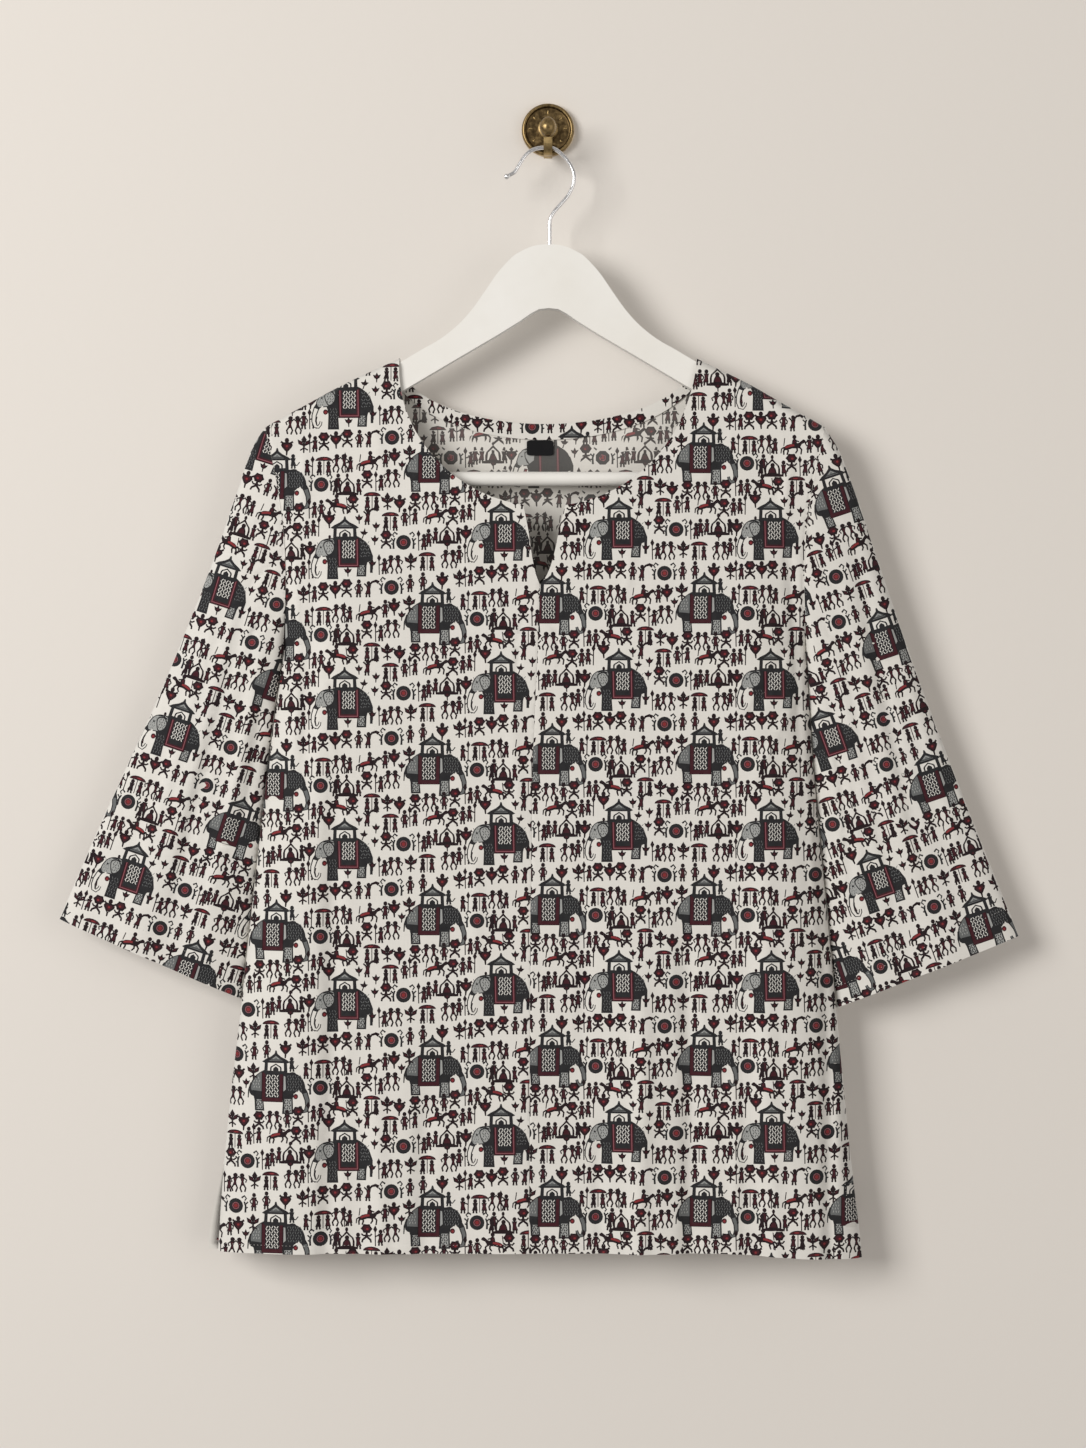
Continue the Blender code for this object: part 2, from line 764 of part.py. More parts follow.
for old in list(bpy.data.objects):
    bpy.data.objects.remove(old)

parts = new_collection("kurta_on_hanger")
printed_cotton = new_material("printed_cotton", (0.80, 0.77, 0.72), 0.85)
label_cloth = new_material("label_cloth", (0.02, 0.02, 0.022), 0.7)
white_paint = new_material("white_paint", (0.86, 0.84, 0.80), 0.4)
bright_steel = new_material("bright_steel", (0.75, 0.75, 0.76), 0.22, 1.0)
aged_brass = new_material("aged_brass", (0.30, 0.21, 0.10), 0.38, 1.0)

add_body_panels()
add_neck_facing()
add_label()
add_sleeve("sleeve_left", LEFT_SLEEVE, -1)
add_sleeve("sleeve_right", RIGHT_SLEEVE, 1)
add_hanger()
add_hook_wire()
add_wall_hook()
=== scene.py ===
# The looks of a printed cotton kurta tunic on a white hanger and a brass wall hook.
# Tables are in millimetres, in the frame of the part; meshes are made in metres.
# The cloth is cut as flat shapes in the front view and then laid on its hanging form.
import bpy
import math
from collections import namedtuple

import bmesh
import numpy as np
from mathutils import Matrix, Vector, geometry
from mathutils.bvhtree import BVHTree


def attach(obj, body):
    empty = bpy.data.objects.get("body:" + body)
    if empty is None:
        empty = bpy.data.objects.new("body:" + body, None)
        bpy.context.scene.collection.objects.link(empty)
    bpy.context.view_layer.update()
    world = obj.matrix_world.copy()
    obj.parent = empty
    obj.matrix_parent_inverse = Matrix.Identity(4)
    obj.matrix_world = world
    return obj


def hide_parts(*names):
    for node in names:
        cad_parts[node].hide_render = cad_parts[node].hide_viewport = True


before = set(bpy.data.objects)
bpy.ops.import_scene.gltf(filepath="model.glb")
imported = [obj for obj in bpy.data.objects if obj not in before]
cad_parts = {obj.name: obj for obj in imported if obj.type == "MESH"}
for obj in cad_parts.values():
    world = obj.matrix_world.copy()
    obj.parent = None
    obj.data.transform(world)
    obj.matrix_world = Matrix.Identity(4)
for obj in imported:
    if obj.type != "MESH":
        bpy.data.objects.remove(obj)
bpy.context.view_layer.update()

MM = 0.001
BODY = "root"

# Camera, as the photograph was taken
CAMERA_PLACE = (-4.2, -2535.0, -501.2)
CAMERA_LENS = 74.6
SENSOR = 36.0

# The garment's cut and hang
CLOTH = 0.9              # thickness of the shown cloth with its hems
MIDDLE = -32.0
NECK_HALF = 123.7
NECK_TOP = -196.2
FRONT_NECK_DROP = 125.0
BACK_NECK_DROP = 53.0
SHOULDER_POINT = -253.6
SHOULDER_HALF = 233.0
UNDERARM = -435.4
UNDERARM_HALF = 217.5
ARMHOLE_BOW = 8.5
SLIT_TOP = -859.0
HEM = -939.3
HEM_SAG = 5.5
SLIT_EDGE = 3.0
SLIT_FALL = 50.0
LEFT_FLARE = 8.5
RIGHT_FLARE = 3.0
FLARE_FALL = 70.0
HANGER_ROLL = 9.4
FRONT_FULL = 21.0
BACK_FULL = 18.0
EDGE_ROUND = 55.0
FALL = 170.0
SEAM_HALF = 0.12
FRONT_SEAM_HALF = 0.06
SLEEVE_GAP = 0.1
ARMHOLE_DEPTH = 13.0
CUFF_DEPTH = 12.0
SLEEVE_FOLD = 1.6
SLEEVE_BACKSET = 4.0
FACING_WIDTH = 13.5
FACING_SPREAD = 0.55
FACING_FIRST = 23.0
FACING_LIFT = 1.3
LABEL_WIDTH = 22.5
LABEL_HEIGHT = 12.8
LABEL_X = -6.6
FACING_WALL = 0.7
FACING_EDGE = 0.3
FACING_ROWS = [1.0, 2.4, 4.4, 6.6, 8.8, 10.6, 12.2, 13.0]
STITCH_LENGTH = 2.2
STITCH_PITCH = 3.0
STITCH_HALF = 0.2
THREAD_PITCH = 0.5

# Hanger and wall hook
HANGER_X = 0.5
HANGER_THICK = 12.0
HANGER_TOP = -102.0
HANGER_EDGE = 4.0        # rounding of its edges
HANGER_DROOP = 0.016     # it falls away from the cloth by this share of its reach
BAR_RADIUS = 6.0
BAR_HEIGHT = -296.7
BAR_HALF = 200.5
WIRE_RADIUS = 1.7
WIRE_TIP = 2.5
ROSE_RADIUS = 22.2
STRAP_WIDTH = 7.2
STRAP_THICK = 2.8
KNOB_RADIUS = 7.0
KNOB_HALF_HEIGHT = 8.3
KNOB_Y = -38.6
KNOB_Z = -4.2
STRAP_EDGE = 0.7
TOUCH = 0.3
ROSE_FACE = 4.2
ROSE_MARK_REACH = 14.6
ROSE_MARK_RAISE = 0.75
WHITE_PAINT = (0.80, 0.785, 0.75)
AGED_PAINT = (0.72, 0.69, 0.63)
WALL_COLOUR = (0.70, 0.662, 0.618)
LABEL_COLOUR = (0.005, 0.005, 0.006)
STEEL = (0.78, 0.78, 0.79)
BRASS = (0.27, 0.185, 0.085)
BRASS_DARK = (0.085, 0.056, 0.026)
BRASS_BROWN = (0.17, 0.115, 0.052)
BRASS_RUBBED = (0.50, 0.36, 0.165)

Lean = namedtuple("Lean", "height middle")
LEANS = [
    Lean(-190.0, 0.4),
    Lean(-240.0, -2.2),
    Lean(-300.0, -2.5),
    Lean(-435.0, -2.6),
    Lean(-525.0, -5.8),
    Lean(-730.0, -7.9),
    Lean(-855.0, -8.8),
    Lean(-946.0, -6.7),
]

Width = namedtuple("Width", "height half")
SIDE_WIDTHS = [
    Width(UNDERARM, UNDERARM_HALF),
    Width(-525.0, 226.2),
    Width(-730.0, 247.4),
    Width(-855.0, 260.4),
    Width(-946.0, 268.6),
]

Slope = namedtuple("Slope", "reach height")
SHOULDER = [
    Slope(0.0, -134.0),
    Slope(NECK_HALF, NECK_TOP),
    Slope(169.0, -217.9),
    Slope(199.0, -234.5),
    Slope(217.0, -244.4),
    Slope(SHOULDER_HALF, SHOULDER_POINT),
    Slope(280.0, -284.0),
]

Slit = namedtuple("Slit", "height left right")
NECK_SLIT = [
    Slit(-341.0, -16.3, 8.8),
    Slit(-352.0, -14.9, 6.9),
    Slit(-363.0, -13.2, 4.4),
    Slit(-371.0, -11.6, 1.9),
    Slit(-378.0, -9.9, -1.0),
    Slit(-386.0, -6.9, -6.6),
]
NECK_SLIT_LEFT = -20.4
NECK_SLIT_RIGHT = 14.2

Seam = namedtuple("Seam", "height x")
CENTRE_FRONT = [
    Seam(-190.0, -5.4),
    Seam(-386.0, -6.7),
    Seam(-531.0, -12.5),
    Seam(-946.0, -15.9),
]

Fold = namedtuple("Fold", "hem_x top_x top_height half_width depth")
FRONT_FOLDS = [
    Fold(-203.0, -196.0, -400.0, 46.0, 4.6),
    Fold(-124.0, -118.0, -640.0, 38.0, 3.2),
    Fold(-38.0, -30.0, -760.0, 36.0, 2.0),
    Fold(84.0, 66.0, -520.0, 50.0, 5.0),
    Fold(208.0, 178.0, -430.0, 46.0, 4.6),
]
BACK_FOLDS = [
    Fold(-190.0, -170.0, -440.0, 48.0, 3.6),
    Fold(-74.0, -60.0, -560.0, 44.0, 3.8),
    Fold(52.0, 44.0, -600.0, 42.0, 2.8),
    Fold(178.0, 160.0, -450.0, 50.0, 4.0),
]

Section = namedtuple("Section", "along outer_x outer_z seam_z")
LEFT_SLEEVE = [
    Section(0.03, -242.6, -263.2, -441.0),
    Section(0.07, -249.6, -278.0, -449.0),
    Section(0.14, -257.2, -300.5, -463.0),
    Section(0.38, -285.8, -381.2, -520.0),
    Section(0.62, -326.7, -481.2, -600.0),
    Section(0.83, -372.5, -581.2, -672.0),
    Section(1.00, -408.3, -663.7, -730.6),
]
RIGHT_SLEEVE = [
    Section(0.03, 239.6, -267.2, -441.0),
    Section(0.07, 245.6, -280.0, -449.0),
    Section(0.14, 254.8, -304.4, -463.0),
    Section(0.38, 278.6, -375.0, -522.0),
    Section(0.62, 313.2, -474.0, -604.0),
    Section(0.83, 357.8, -590.0, -678.0),
    Section(1.00, 393.3, -677.9, -738.0),
]

# Creases, given one by one: a soft ridge where height is positive, a trough where it isn't
Crease = namedtuple("Crease", "top_x top_z foot_x foot_z half_width height")
FRONT_CREASES = [
    Crease(-209, -296, -214, -580, 9, 2.2),
    Crease(-194, -320, -199, -610, 11, -2.0),
    Crease(-172, -470, -184, -938, 15, -3.4),
    Crease(-141, -760, -142, -940, 15, 2.5),
    Crease(-98, -790, -104, -940, 14, -2.2),
    Crease(-58, -560, -66, -800, 11, 1.0),
    Crease(-28, -420, -26, -640, 12, 1.0),
    Crease(30, -560, 26, -820, 12, -1.0),
    Crease(46, -800, 44, -940, 11, -1.7),
    Crease(75, -670, 77, -940, 15, 2.8),
    Crease(112, -620, 119, -940, 15, -3.3),
    Crease(150, -730, 156, -940, 10, 1.4),
    Crease(178, -540, 185, -940, 16, 2.7),
    Crease(226, -590, 236, -940, 11, -3.0),
    Crease(194, -292, 214, -560, 10, -2.2),
    Crease(207, -420, 226, -700, 7, 1.7),
    Crease(-206, -262, -198, -352, 10, 1.8),
    Crease(203, -262, 196, -348, 9, 1.8),
    Crease(-206, -430, -142, -515, 8, -1.4),
    Crease(-212, -452, -158, -556, 7, 0.9),
    Crease(206, -426, 150, -520, 8, -1.4),
    Crease(214, -452, 166, -566, 7, 0.9),
    Crease(-15, -396, -34, -486, 5, -0.9),
    Crease(2, -396, 18, -476, 5, -0.9),
    Crease(-150, -240, -128, -330, 9, 0.9),
    Crease(150, -240, 124, -336, 9, -0.9),
    Crease(-84, -330, -60, -420, 9, -0.8),
    Crease(74, -326, 56, -420, 8, 0.8),
]
BACK_CREASES = [
    Crease(-204, -300, -212, -590, 10, 2.1),
    Crease(-176, -430, -184, -938, 14, -2.5),
    Crease(-134, -600, -142, -940, 13, 2.2),
    Crease(-104, -520, -112, -940, 13, -2.7),
    Crease(-48, -640, -52, -940, 12, 2.0),
    Crease(-8, -560, -16, -940, 14, -2.4),
    Crease(36, -700, 34, -940, 12, 1.8),
    Crease(80, -600, 86, -940, 14, -2.7),
    Crease(128, -520, 138, -940, 13, 2.4),
    Crease(196, -420, 214, -940, 13, -2.7),
    Crease(200, -290, 212, -560, 9, 2.0),
    Crease(-206, -430, -150, -520, 8, -1.4),
    Crease(206, -430, 156, -516, 8, -1.4),
    Crease(-120, -300, -90, -420, 10, 0.9),
    Crease(110, -310, 84, -420, 10, -0.9),
]
LEFT_SLEEVE_CREASES = [
    Crease(-246, -292, -352, -668, 11, 2.2),
    Crease(-238, -330, -318, -690, 11, -2.5),
    Crease(-232, -392, -288, -700, 9, 1.8),
    Crease(-228, -448, -268, -640, 8, -2.4),
    Crease(-226, -322, -252, -344, 5, -1.2),
    Crease(-224, -366, -250, -390, 5, -1.2),
    Crease(-224, -408, -254, -438, 6, -1.5),
    Crease(-270, -350, -384, -660, 8, -1.2),
]
RIGHT_SLEEVE_CREASES = [
    Crease(240, -300, 330, -690, 11, -2.5),
    Crease(250, -300, 362, -676, 11, 2.2),
    Crease(230, -380, 288, -706, 10, 2.0),
    Crease(226, -440, 262, -690, 8, -2.7),
    Crease(224, -320, 250, -346, 5, -1.2),
    Crease(222, -370, 248, -392, 5, -1.2),
    Crease(222, -412, 252, -440, 6, -1.5),
    Crease(268, -350, 372, -660, 8, -1.0),
]
RIPPLE = 0.5             # height of the small unevenness that ironing leaves
HEM_STITCH = 7.0         # the hem's stitching above its edge
HEM_STEP = 0.35          # the turned hem stands this much proud
CUFF_STITCH = 18.0
SLIT_STITCH = 8.0
NECK_STITCH = 2.0
CENTRE_SEAM_DIP = 0.45
FOLD_SNAP = 0.0003       # a share this near 0 or 1 is on the sleeve's folded edge
FOLD_KEEP = 0.004        # the print stops this near the fold
LEAST_PRINT = 0.05       # smaller bits of print left at a fold are dropped
PLAIN_LEAST = 2.0        # the back print leaves out marks smaller than this, in square mm
PLAIN_CORNER = 2.0       # and corners that cut off less than this
SLEEVE_LENGTH = 385.0
ARMHOLE_FADE = 0.30      # this far down a sleeve the armhole's own form is gone
ARMHOLE_CLOSES = 0.0025  # share of the sleeve's width where its armhole edge closes
BACK_CREASE_SHARE = 0.8  # the creases behind a sleeve, against those in front
BACK_PRINT_X = 40.0      # the print on a sleeve's back, against the one in front
BACK_PRINT_Z = 52.0

# Inks of the print and plain colours, in linear light
INKS = {
    "ground": (0.680, 0.658, 0.616),
    "plum": (0.013, 0.006, 0.008),
    "charcoal": (0.017, 0.017, 0.019),
    "maroon": (0.046, 0.0085, 0.0135),
    "red": (0.20, 0.024, 0.028),
    "rose": (0.26, 0.085, 0.10),
    "slate": (0.125, 0.13, 0.13),
    "grey": (0.32, 0.325, 0.315),
}
WRONG_SIDE = (0.675, 0.650, 0.605)
WRONG_SIDE_SHARE = 0.88   # how much of the print shows through on the wrong side

# One repeat of the print, across and down
CELL_HEIGHT = 124.8
MOTIF_SPAN = 127.5       # the width that the motifs' places below are given for
SECOND_ELEPHANT = (72.4, -62.0)

Motif = namedtuple("Motif", "kind x y")
ROW_MOTIFS = [
    Motif("plume", 20, 22),
    Motif("parasol", 37, 19),
    Motif("figure", 50, 18),
    Motif("spear", 57, 19),
    Motif("rider", 74, 20),
    Motif("plant", 89, 18),
    Motif("figure", 97, 18),
    Motif("spear", 104, 19),
    Motif("bulb", 114, 23),
    Motif("plant", 34, 0),
    Motif("roundel", 49, 0),
    Motif("spear", 63, 0),
    Motif("figure", 70, 0),
    Motif("shrine", 84, 0),
    Motif("bulb", 99, 0),
    Motif("spear", 31, -18),
    Motif("dancers", 42, -18),
    Motif("leaf", 54, -17),
    Motif("parasol", 68, -17),
    Motif("dancers", 85, -18),
    Motif("figure", 94, -18),
    Motif("spear", 101, -18),
    Motif("plant", 110, -37),
    Motif("bulb", 121, -36),
    Motif("plant", 2, -37),
    Motif("figure", 12, -37),
    Motif("plume", 22, -37),
    Motif("roundel", 39, -37),
    Motif("figure", 53, -36),
    Motif("leaf", 93, -37),
    Motif("spear", 101, -37),
    Motif("parasol", 110, -55),
    Motif("dancers", 124, -55),
    Motif("spear", 3, -55),
    Motif("rider", 19, -55),
    Motif("figure", 33, -55),
    Motif("bulb", 40, -56),
    Motif("roundel", 109, -74),
    Motif("figure", 121, -74),
    Motif("shrine", 2, -74),
    Motif("plant", 19, -74),
    Motif("spear", 28, -74),
    Motif("dancers", 38, -74),
    Motif("spear", 101, -92),
    Motif("figure", 109, -92),
    Motif("rider", 123, -92),
    Motif("plant", 7, -92),
    Motif("parasol", 23, -92),
    Motif("leaf", 36, -92),
    Motif("bulb", 46, -94),
    Motif("plant", 57, -96),
    Motif("dancers", 70, -96),
    Motif("figure", 81, -95),
    Motif("plant", 90, -95),
]
# Small ones in the bare spots between the rows
SMALL_MOTIFS = [
    Motif("bulb", 80.0, -36.6),
    Motif("figure", 64.0, -35.2),
    Motif("leaf", 53.0, -52.8),
    Motif("spear", 98.6, -55.2),
    Motif("sprig", 3.0, -20.8),
    Motif("sprig", 26.0, 14.0),
    Motif("sprig", 12.0, 22.0),
    Motif("sprig", 84.0, -6.8),
    Motif("sprig", 47.0, -61.8),
    Motif("sprig", 23.0, -16.8),
    Motif("sprig", 25.0, 3.0),
]
ROW_CLOSENESS = 0.98     # the rows stand this much closer than the heights above
UNEVEN_SEED = 7
UNEVEN_ACROSS = 1.0      # a hand-set block lands this far off its place at most
UNEVEN_UP = 2.2
CELL_LEFT = 10.0         # one repeat's cell starts this far left of its first elephant
CELL_BELOW = 100.0       # and this far below it


def uneven(motifs):
    """The motifs moved a little, each within one cell of the repeat."""
    draws = np.random.default_rng(UNEVEN_SEED)
    moved = []
    for motif in motifs:
        x = motif.x + draws.uniform(-UNEVEN_ACROSS, UNEVEN_ACROSS)
        y = round(motif.y * ROW_CLOSENESS, 1) + draws.uniform(-UNEVEN_UP, UNEVEN_UP)
        x = (x + CELL_LEFT) % MOTIF_SPAN - CELL_LEFT
        y = (y + CELL_BELOW) % CELL_HEIGHT - CELL_BELOW
        moved.append(Motif(motif.kind, round(x, 1), round(y, 1)))
    return moved


FILLERS = uneven(ROW_MOTIFS) + SMALL_MOTIFS

# Where the print starts on each piece, how it is turned, the width of a repeat there
# and how far it climbs a repeat, as seen from the front
Layout = namedtuple("Layout", "x z turn width climb")
PRINTS = {
    "front_left": Layout(-168.7, -354.4, 0.0, 129.4, 13.0),
    "front_right": Layout(58.2, -338.7, 0.0, 125.8, 0.0),
    "back": Layout(-2.5, -276.2, 0.0, 127.5, 0.0),
    "sleeve_left": Layout(-271.2, -385.6, -17.9, 128.0, 0.0),
    "sleeve_right": Layout(192.5, -393.0, 18.6, 128.0, 0.0),
    "neck_facing": Layout(-52.0, -214.0, 0.0, 127.5, 0.0),
}
Edge = namedtuple("Edge", "reach height")
HANGER_UPPER = [
    Edge(0.0, HANGER_TOP),
    Edge(8.0, -102.4),
    Edge(15.4, -104.2),
    Edge(23.0, -107.8),
    Edge(30.4, -112.6),
    Edge(42.2, -125.4),
    Edge(52.6, -140.4),
    Edge(63.2, -155.4),
    Edge(75.0, -168.6),
    Edge(90.0, -180.6),
    Edge(106.0, -189.8),
]
HANGER_UNDER_SHOULDER = [124.0, 140.0, 160.0, 180.0, 197.0, 206.0]
HANGER_LOWER = [
    Edge(213.6, -253.4),
    Edge(216.8, -259.0),
    Edge(218.4, -272.0),
    Edge(218.0, -292.0),
    Edge(215.0, -300.6),
    Edge(210.0, -303.6),
    Edge(205.0, -301.4),
    Edge(202.2, -295.0),
    Edge(199.0, -282.0),
    Edge(193.0, -270.4),
    Edge(184.0, -261.4),
    Edge(41.7, -176.9),
    Edge(0.0, -155.0),
]
HANGER_UNDER_CLOTH = 2.4  # the cloth's outer face lies this far above the hanger
LEAN_ALLOWANCE = 3.4      # the garment sits this much to one side at the shoulders

Bend = namedtuple("Bend", "x z")
WIRE_BENDS = [
    Bend(1.4, HANGER_TOP + 0.2),
    Bend(1.5, -92.0),
    Bend(1.7, -81.0),
    Bend(4.6, -74.6),
    Bend(10.3, -67.9),
    Bend(16.1, -61.2),
    Bend(20.2, -53.6),
    Bend(21.8, -46.8),
    Bend(21.2, -40.6),
    Bend(18.0, -33.6),
    Bend(12.4, -26.8),
    Bend(5.6, -21.6),
    Bend(-0.4, -20.4),
    Bend(-8.4, -20.9),
    Bend(-15.2, -23.6),
    Bend(-20.2, -28.6),
    Bend(-24.2, -35.0),
    Bend(-28.0, -40.8),
    Bend(-32.2, -43.4),
]

Step = namedtuple("Step", "radius height")
ROSE_PROFILE = [
    Step(0.0, 11.4),
    Step(6.6, 11.4),
    Step(8.2, 10.7),
    Step(8.7, 9.6),
    Step(8.5, 4.8),
    Step(9.6, 4.2),
    Step(17.4, 4.2),
    Step(18.5, 4.7),
    Step(19.3, 5.8),
    Step(20.4, 6.2),
    Step(21.4, 5.7),
    Step(22.1, 4.4),
    Step(ROSE_RADIUS, 0.0),
    Step(0.0, 0.0),
]

Point = namedtuple("Point", "y z")
STRAP_SEAT = -21.4 - WIRE_RADIUS - TOUCH - STRAP_THICK / 2
STRAP_BENDS = [
    Point(-4.5, -13.6),
    Point(-7.4, -14.2),
    Point(-9.8, -17.0),
    Point(-11.6, -21.4),
    Point(-16.0, STRAP_SEAT - 0.3),
    Point(-24.0, STRAP_SEAT - 0.2),
    Point(MIDDLE, STRAP_SEAT),
    Point(-36.4, -21.6),
    Point(-38.4, -18.0),
    Point(KNOB_Y, -13.1),
]

Mark = namedtuple("Mark", "angle length width curl")
ROSE_MARKS = [
    Mark(0.0, 4.2, 1.1, 0.0),
    Mark(47.0, 3.6, 1.7, 0.8),
    Mark(88.0, 3.8, 1.8, -0.7),
    Mark(130.0, 2.6, 1.5, 0.5),
    Mark(230.0, 3.4, 1.2, 0.9),
    Mark(272.0, 3.8, 1.9, 0.6),
    Mark(313.0, 3.6, 1.8, -0.8),
]


def ease(value):
    value = np.clip(value, 0.0, 1.0)
    return value * value * (3.0 - 2.0 * value)


def dome(value):
    value = np.clip(value, 0.0, 1.0)
    return np.sqrt(1.0 - (1.0 - value) ** 2)


def read(table, key, column, value):
    """A table's column at values of its key, on a smooth curve through the rows."""
    rows = sorted(table, key=lambda row: getattr(row, key))
    keys = np.array([getattr(row, key) for row in rows])
    marks = np.array([getattr(row, column) for row in rows])
    value = np.clip(value, keys[0], keys[-1])
    index = np.clip(np.searchsorted(keys, value) - 1, 0, len(keys) - 2)
    slopes = np.diff(marks) / np.diff(keys)
    tangents = np.concatenate([slopes[:1], (slopes[:-1] + slopes[1:]) / 2, slopes[-1:]])
    span = keys[index + 1] - keys[index]
    t = (value - keys[index]) / span
    start = (1 + 2 * t) * (1 - t) ** 2 * marks[index]
    leave = t * (1 - t) ** 2 * span * tangents[index]
    end = t * t * (3 - 2 * t) * marks[index + 1]
    arrive = t * t * (t - 1) * span * tangents[index + 1]
    return start + leave + end + arrive


def middle_x(height):
    return read(LEANS, "height", "middle", height)


def shoulder_height(reach):
    return read(SHOULDER, "reach", "height", reach)


def centre_front_x(height):
    return read(CENTRE_FRONT, "height", "x", height)


def hem_height(x):
    return HEM - HEM_SAG * ease((x - 130.0) / 130.0)


def half_width(height):
    """Half the body's width: the armhole's curve above, the side seam below."""
    down = np.clip((SHOULDER_POINT - height) / (SHOULDER_POINT - UNDERARM), 0.0, 1.0)
    straight = SHOULDER_HALF + (UNDERARM_HALF - SHOULDER_HALF) * down
    armhole = straight - ARMHOLE_BOW * np.sin(math.pi * down)
    return np.where(height < UNDERARM, read(SIDE_WIDTHS, "height", "half", height), armhole)


def armhole_depth(height):
    """Half the armhole's depth: round over the hanger, closed at the underarm."""
    top = HANGER_ROLL * dome((SHOULDER_POINT - height) / HANGER_ROLL)
    down = np.clip((SHOULDER_POINT - height) / (SHOULDER_POINT - UNDERARM), 0.0, 1.0)
    swell = (ARMHOLE_DEPTH - HANGER_ROLL) * np.sin(math.pi * down)
    return SEAM_HALF + (top + swell) * dome((height - UNDERARM) / 40.0)


def fold_depth(folds, x, height):
    total = np.zeros_like(x)
    for fold in folds:
        down = (fold.top_height - height) / (fold.top_height - HEM)
        centre = fold.top_x + (fold.hem_x - fold.top_x) * np.clip(down, 0.0, 1.0)
        away = np.clip(np.abs(x - centre) / fold.half_width, 0.0, 1.0)
        total += fold.depth * ease(down * 1.25) * (0.5 + 0.5 * np.cos(math.pi * away))
    return total


def crease_height(creases, x, z):
    """The listed creases: each swells and dies away along its own line."""
    total = np.zeros_like(x)
    for row in creases:
        along_x = row.foot_x - row.top_x
        along_z = row.foot_z - row.top_z
        length = math.hypot(along_x, along_z)
        t = ((x - row.top_x) * along_x + (z - row.top_z) * along_z) / length ** 2
        side = ((x - row.top_x) * along_z - (z - row.top_z) * along_x) / length
        wander = 2.2 * np.sin(t * 5.0 + row.top_x)
        away = np.clip(np.abs(side + wander) / row.half_width, 0.0, 1.0)
        open_foot = row.foot_z < HEM + 6.0
        swell = ease(t * 2.6) * (1.0 if open_foot else ease((1.0 - t) * 2.6))
        total += row.height * swell * (0.5 + 0.5 * np.cos(math.pi * away)) ** 1.3
    return total


def ripple(x, z, seed):
    """Small soft unevenness, longer down the cloth than across it."""
    height = np.zeros_like(x)
    for step in range(1, 8):
        turn = seed * 1.7 + step * 2.4
        across = math.cos(turn) * step / 44.0
        up = math.sin(turn) * step / 74.0
        height += np.sin(x * across + z * up + seed * step) / (1.0 + 0.35 * step)
    return RIPPLE * height / 2.2


Panel = namedtuple("Panel", "side full folds creases seed")
FRONT = Panel(-1.0, FRONT_FULL, FRONT_FOLDS, FRONT_CREASES, 1.0)
BACK = Panel(1.0, BACK_FULL, BACK_FOLDS, BACK_CREASES, 5.0)


def panel_depth(panel, x, height):
    """How far a body panel stands off the hanger's plane."""
    reach = np.abs(x - middle_x(height))
    drop = np.maximum(0.0, shoulder_height(reach) - height)
    body = HANGER_ROLL * dome(drop / HANGER_ROLL)
    body = body + (panel.full - HANGER_ROLL) * ease((drop - 4.0) / FALL)
    body = body + fold_depth(panel.folds, x, height)
    inward = np.maximum(0.0, half_width(height) - reach)
    follow = 1.0 - ease(drop / 60.0)
    armhole = armhole_depth(height + (SHOULDER_POINT - drop - height) * follow)
    slit = SEAM_HALF + SLIT_EDGE * ease((SLIT_TOP - height) / SLIT_FALL)
    edge = np.where(height >= UNDERARM, armhole, slit)
    side_seam = ease((UNDERARM + 30.0 - height) / 60.0)
    share = inward / EDGE_ROUND
    flat_turn = np.sin(np.minimum(1.0, share) * math.pi / 2)
    turn = (1.0 - side_seam) * flat_turn + side_seam * dome(share)
    depth = edge + (body + SEAM_HALF - edge) * turn
    settled = ease(inward / 14.0) * ease((drop - 12.0) / 40.0)
    detail = crease_height(panel.creases, x, height) + ripple(x, height, panel.seed)
    depth = depth + settled * detail
    pinch = np.exp(-((inward - 0.8) / 1.6) ** 2) * ease((drop - 4.0) / 10.0)
    pinch = pinch * (height > SLIT_TOP) * np.minimum(1.0, edge / 3.0)
    hem = 1.0 - ease((height - hem_height(x) - HEM_STITCH + 0.7) / 1.4)
    depth = depth + HEM_STEP * hem - 0.7 * pinch
    if panel is FRONT:
        from_seam = np.abs(x - centre_front_x(height))
        seam = np.exp(-(from_seam / 1.1) ** 2) * (height < NECK_SLIT[-1].height)
        depth = depth - CENTRE_SEAM_DIP * seam
    return depth


def place_on_panel(panel):
    def place(x, z):
        return np.stack([x, MIDDLE + panel.side * panel_depth(panel, x, z), z], axis=1)
    return place


def surface_normals(place, x, z, outward, step=0.35):
    """Unit normals of a laid surface, by small steps in the front view."""
    across = place(x + step, z) - place(x - step, z)
    up = place(x, z + step) - place(x, z - step)
    normals = np.cross(across, up) * -outward
    return normals / np.maximum(1e-9, np.linalg.norm(normals, axis=1))[:, None]


def inside_outline(outline, points):
    """Which points lie inside a closed outline."""
    x1, z1 = np.asarray(outline).T
    x2, z2 = np.roll(outline, -1, axis=0).T
    rise = np.where(z1 == z2, 1.0, z2 - z1)
    inside = []
    for block in np.array_split(points, 1 + len(points) // 4000):
        x = block[:, :1]
        z = block[:, 1:]
        crosses = (z1 > z) != (z2 > z)
        at = (x2 - x1) * (z - z1) / rise + x1
        inside.append((crosses & (x < at)).sum(axis=1) % 2 == 1)
    return np.concatenate(inside)


def signed_area(points):
    x = points[:, 0]
    z = points[:, 1]
    return 0.5 * float(np.sum(x * np.roll(z, -1) - np.roll(x, -1) * z))


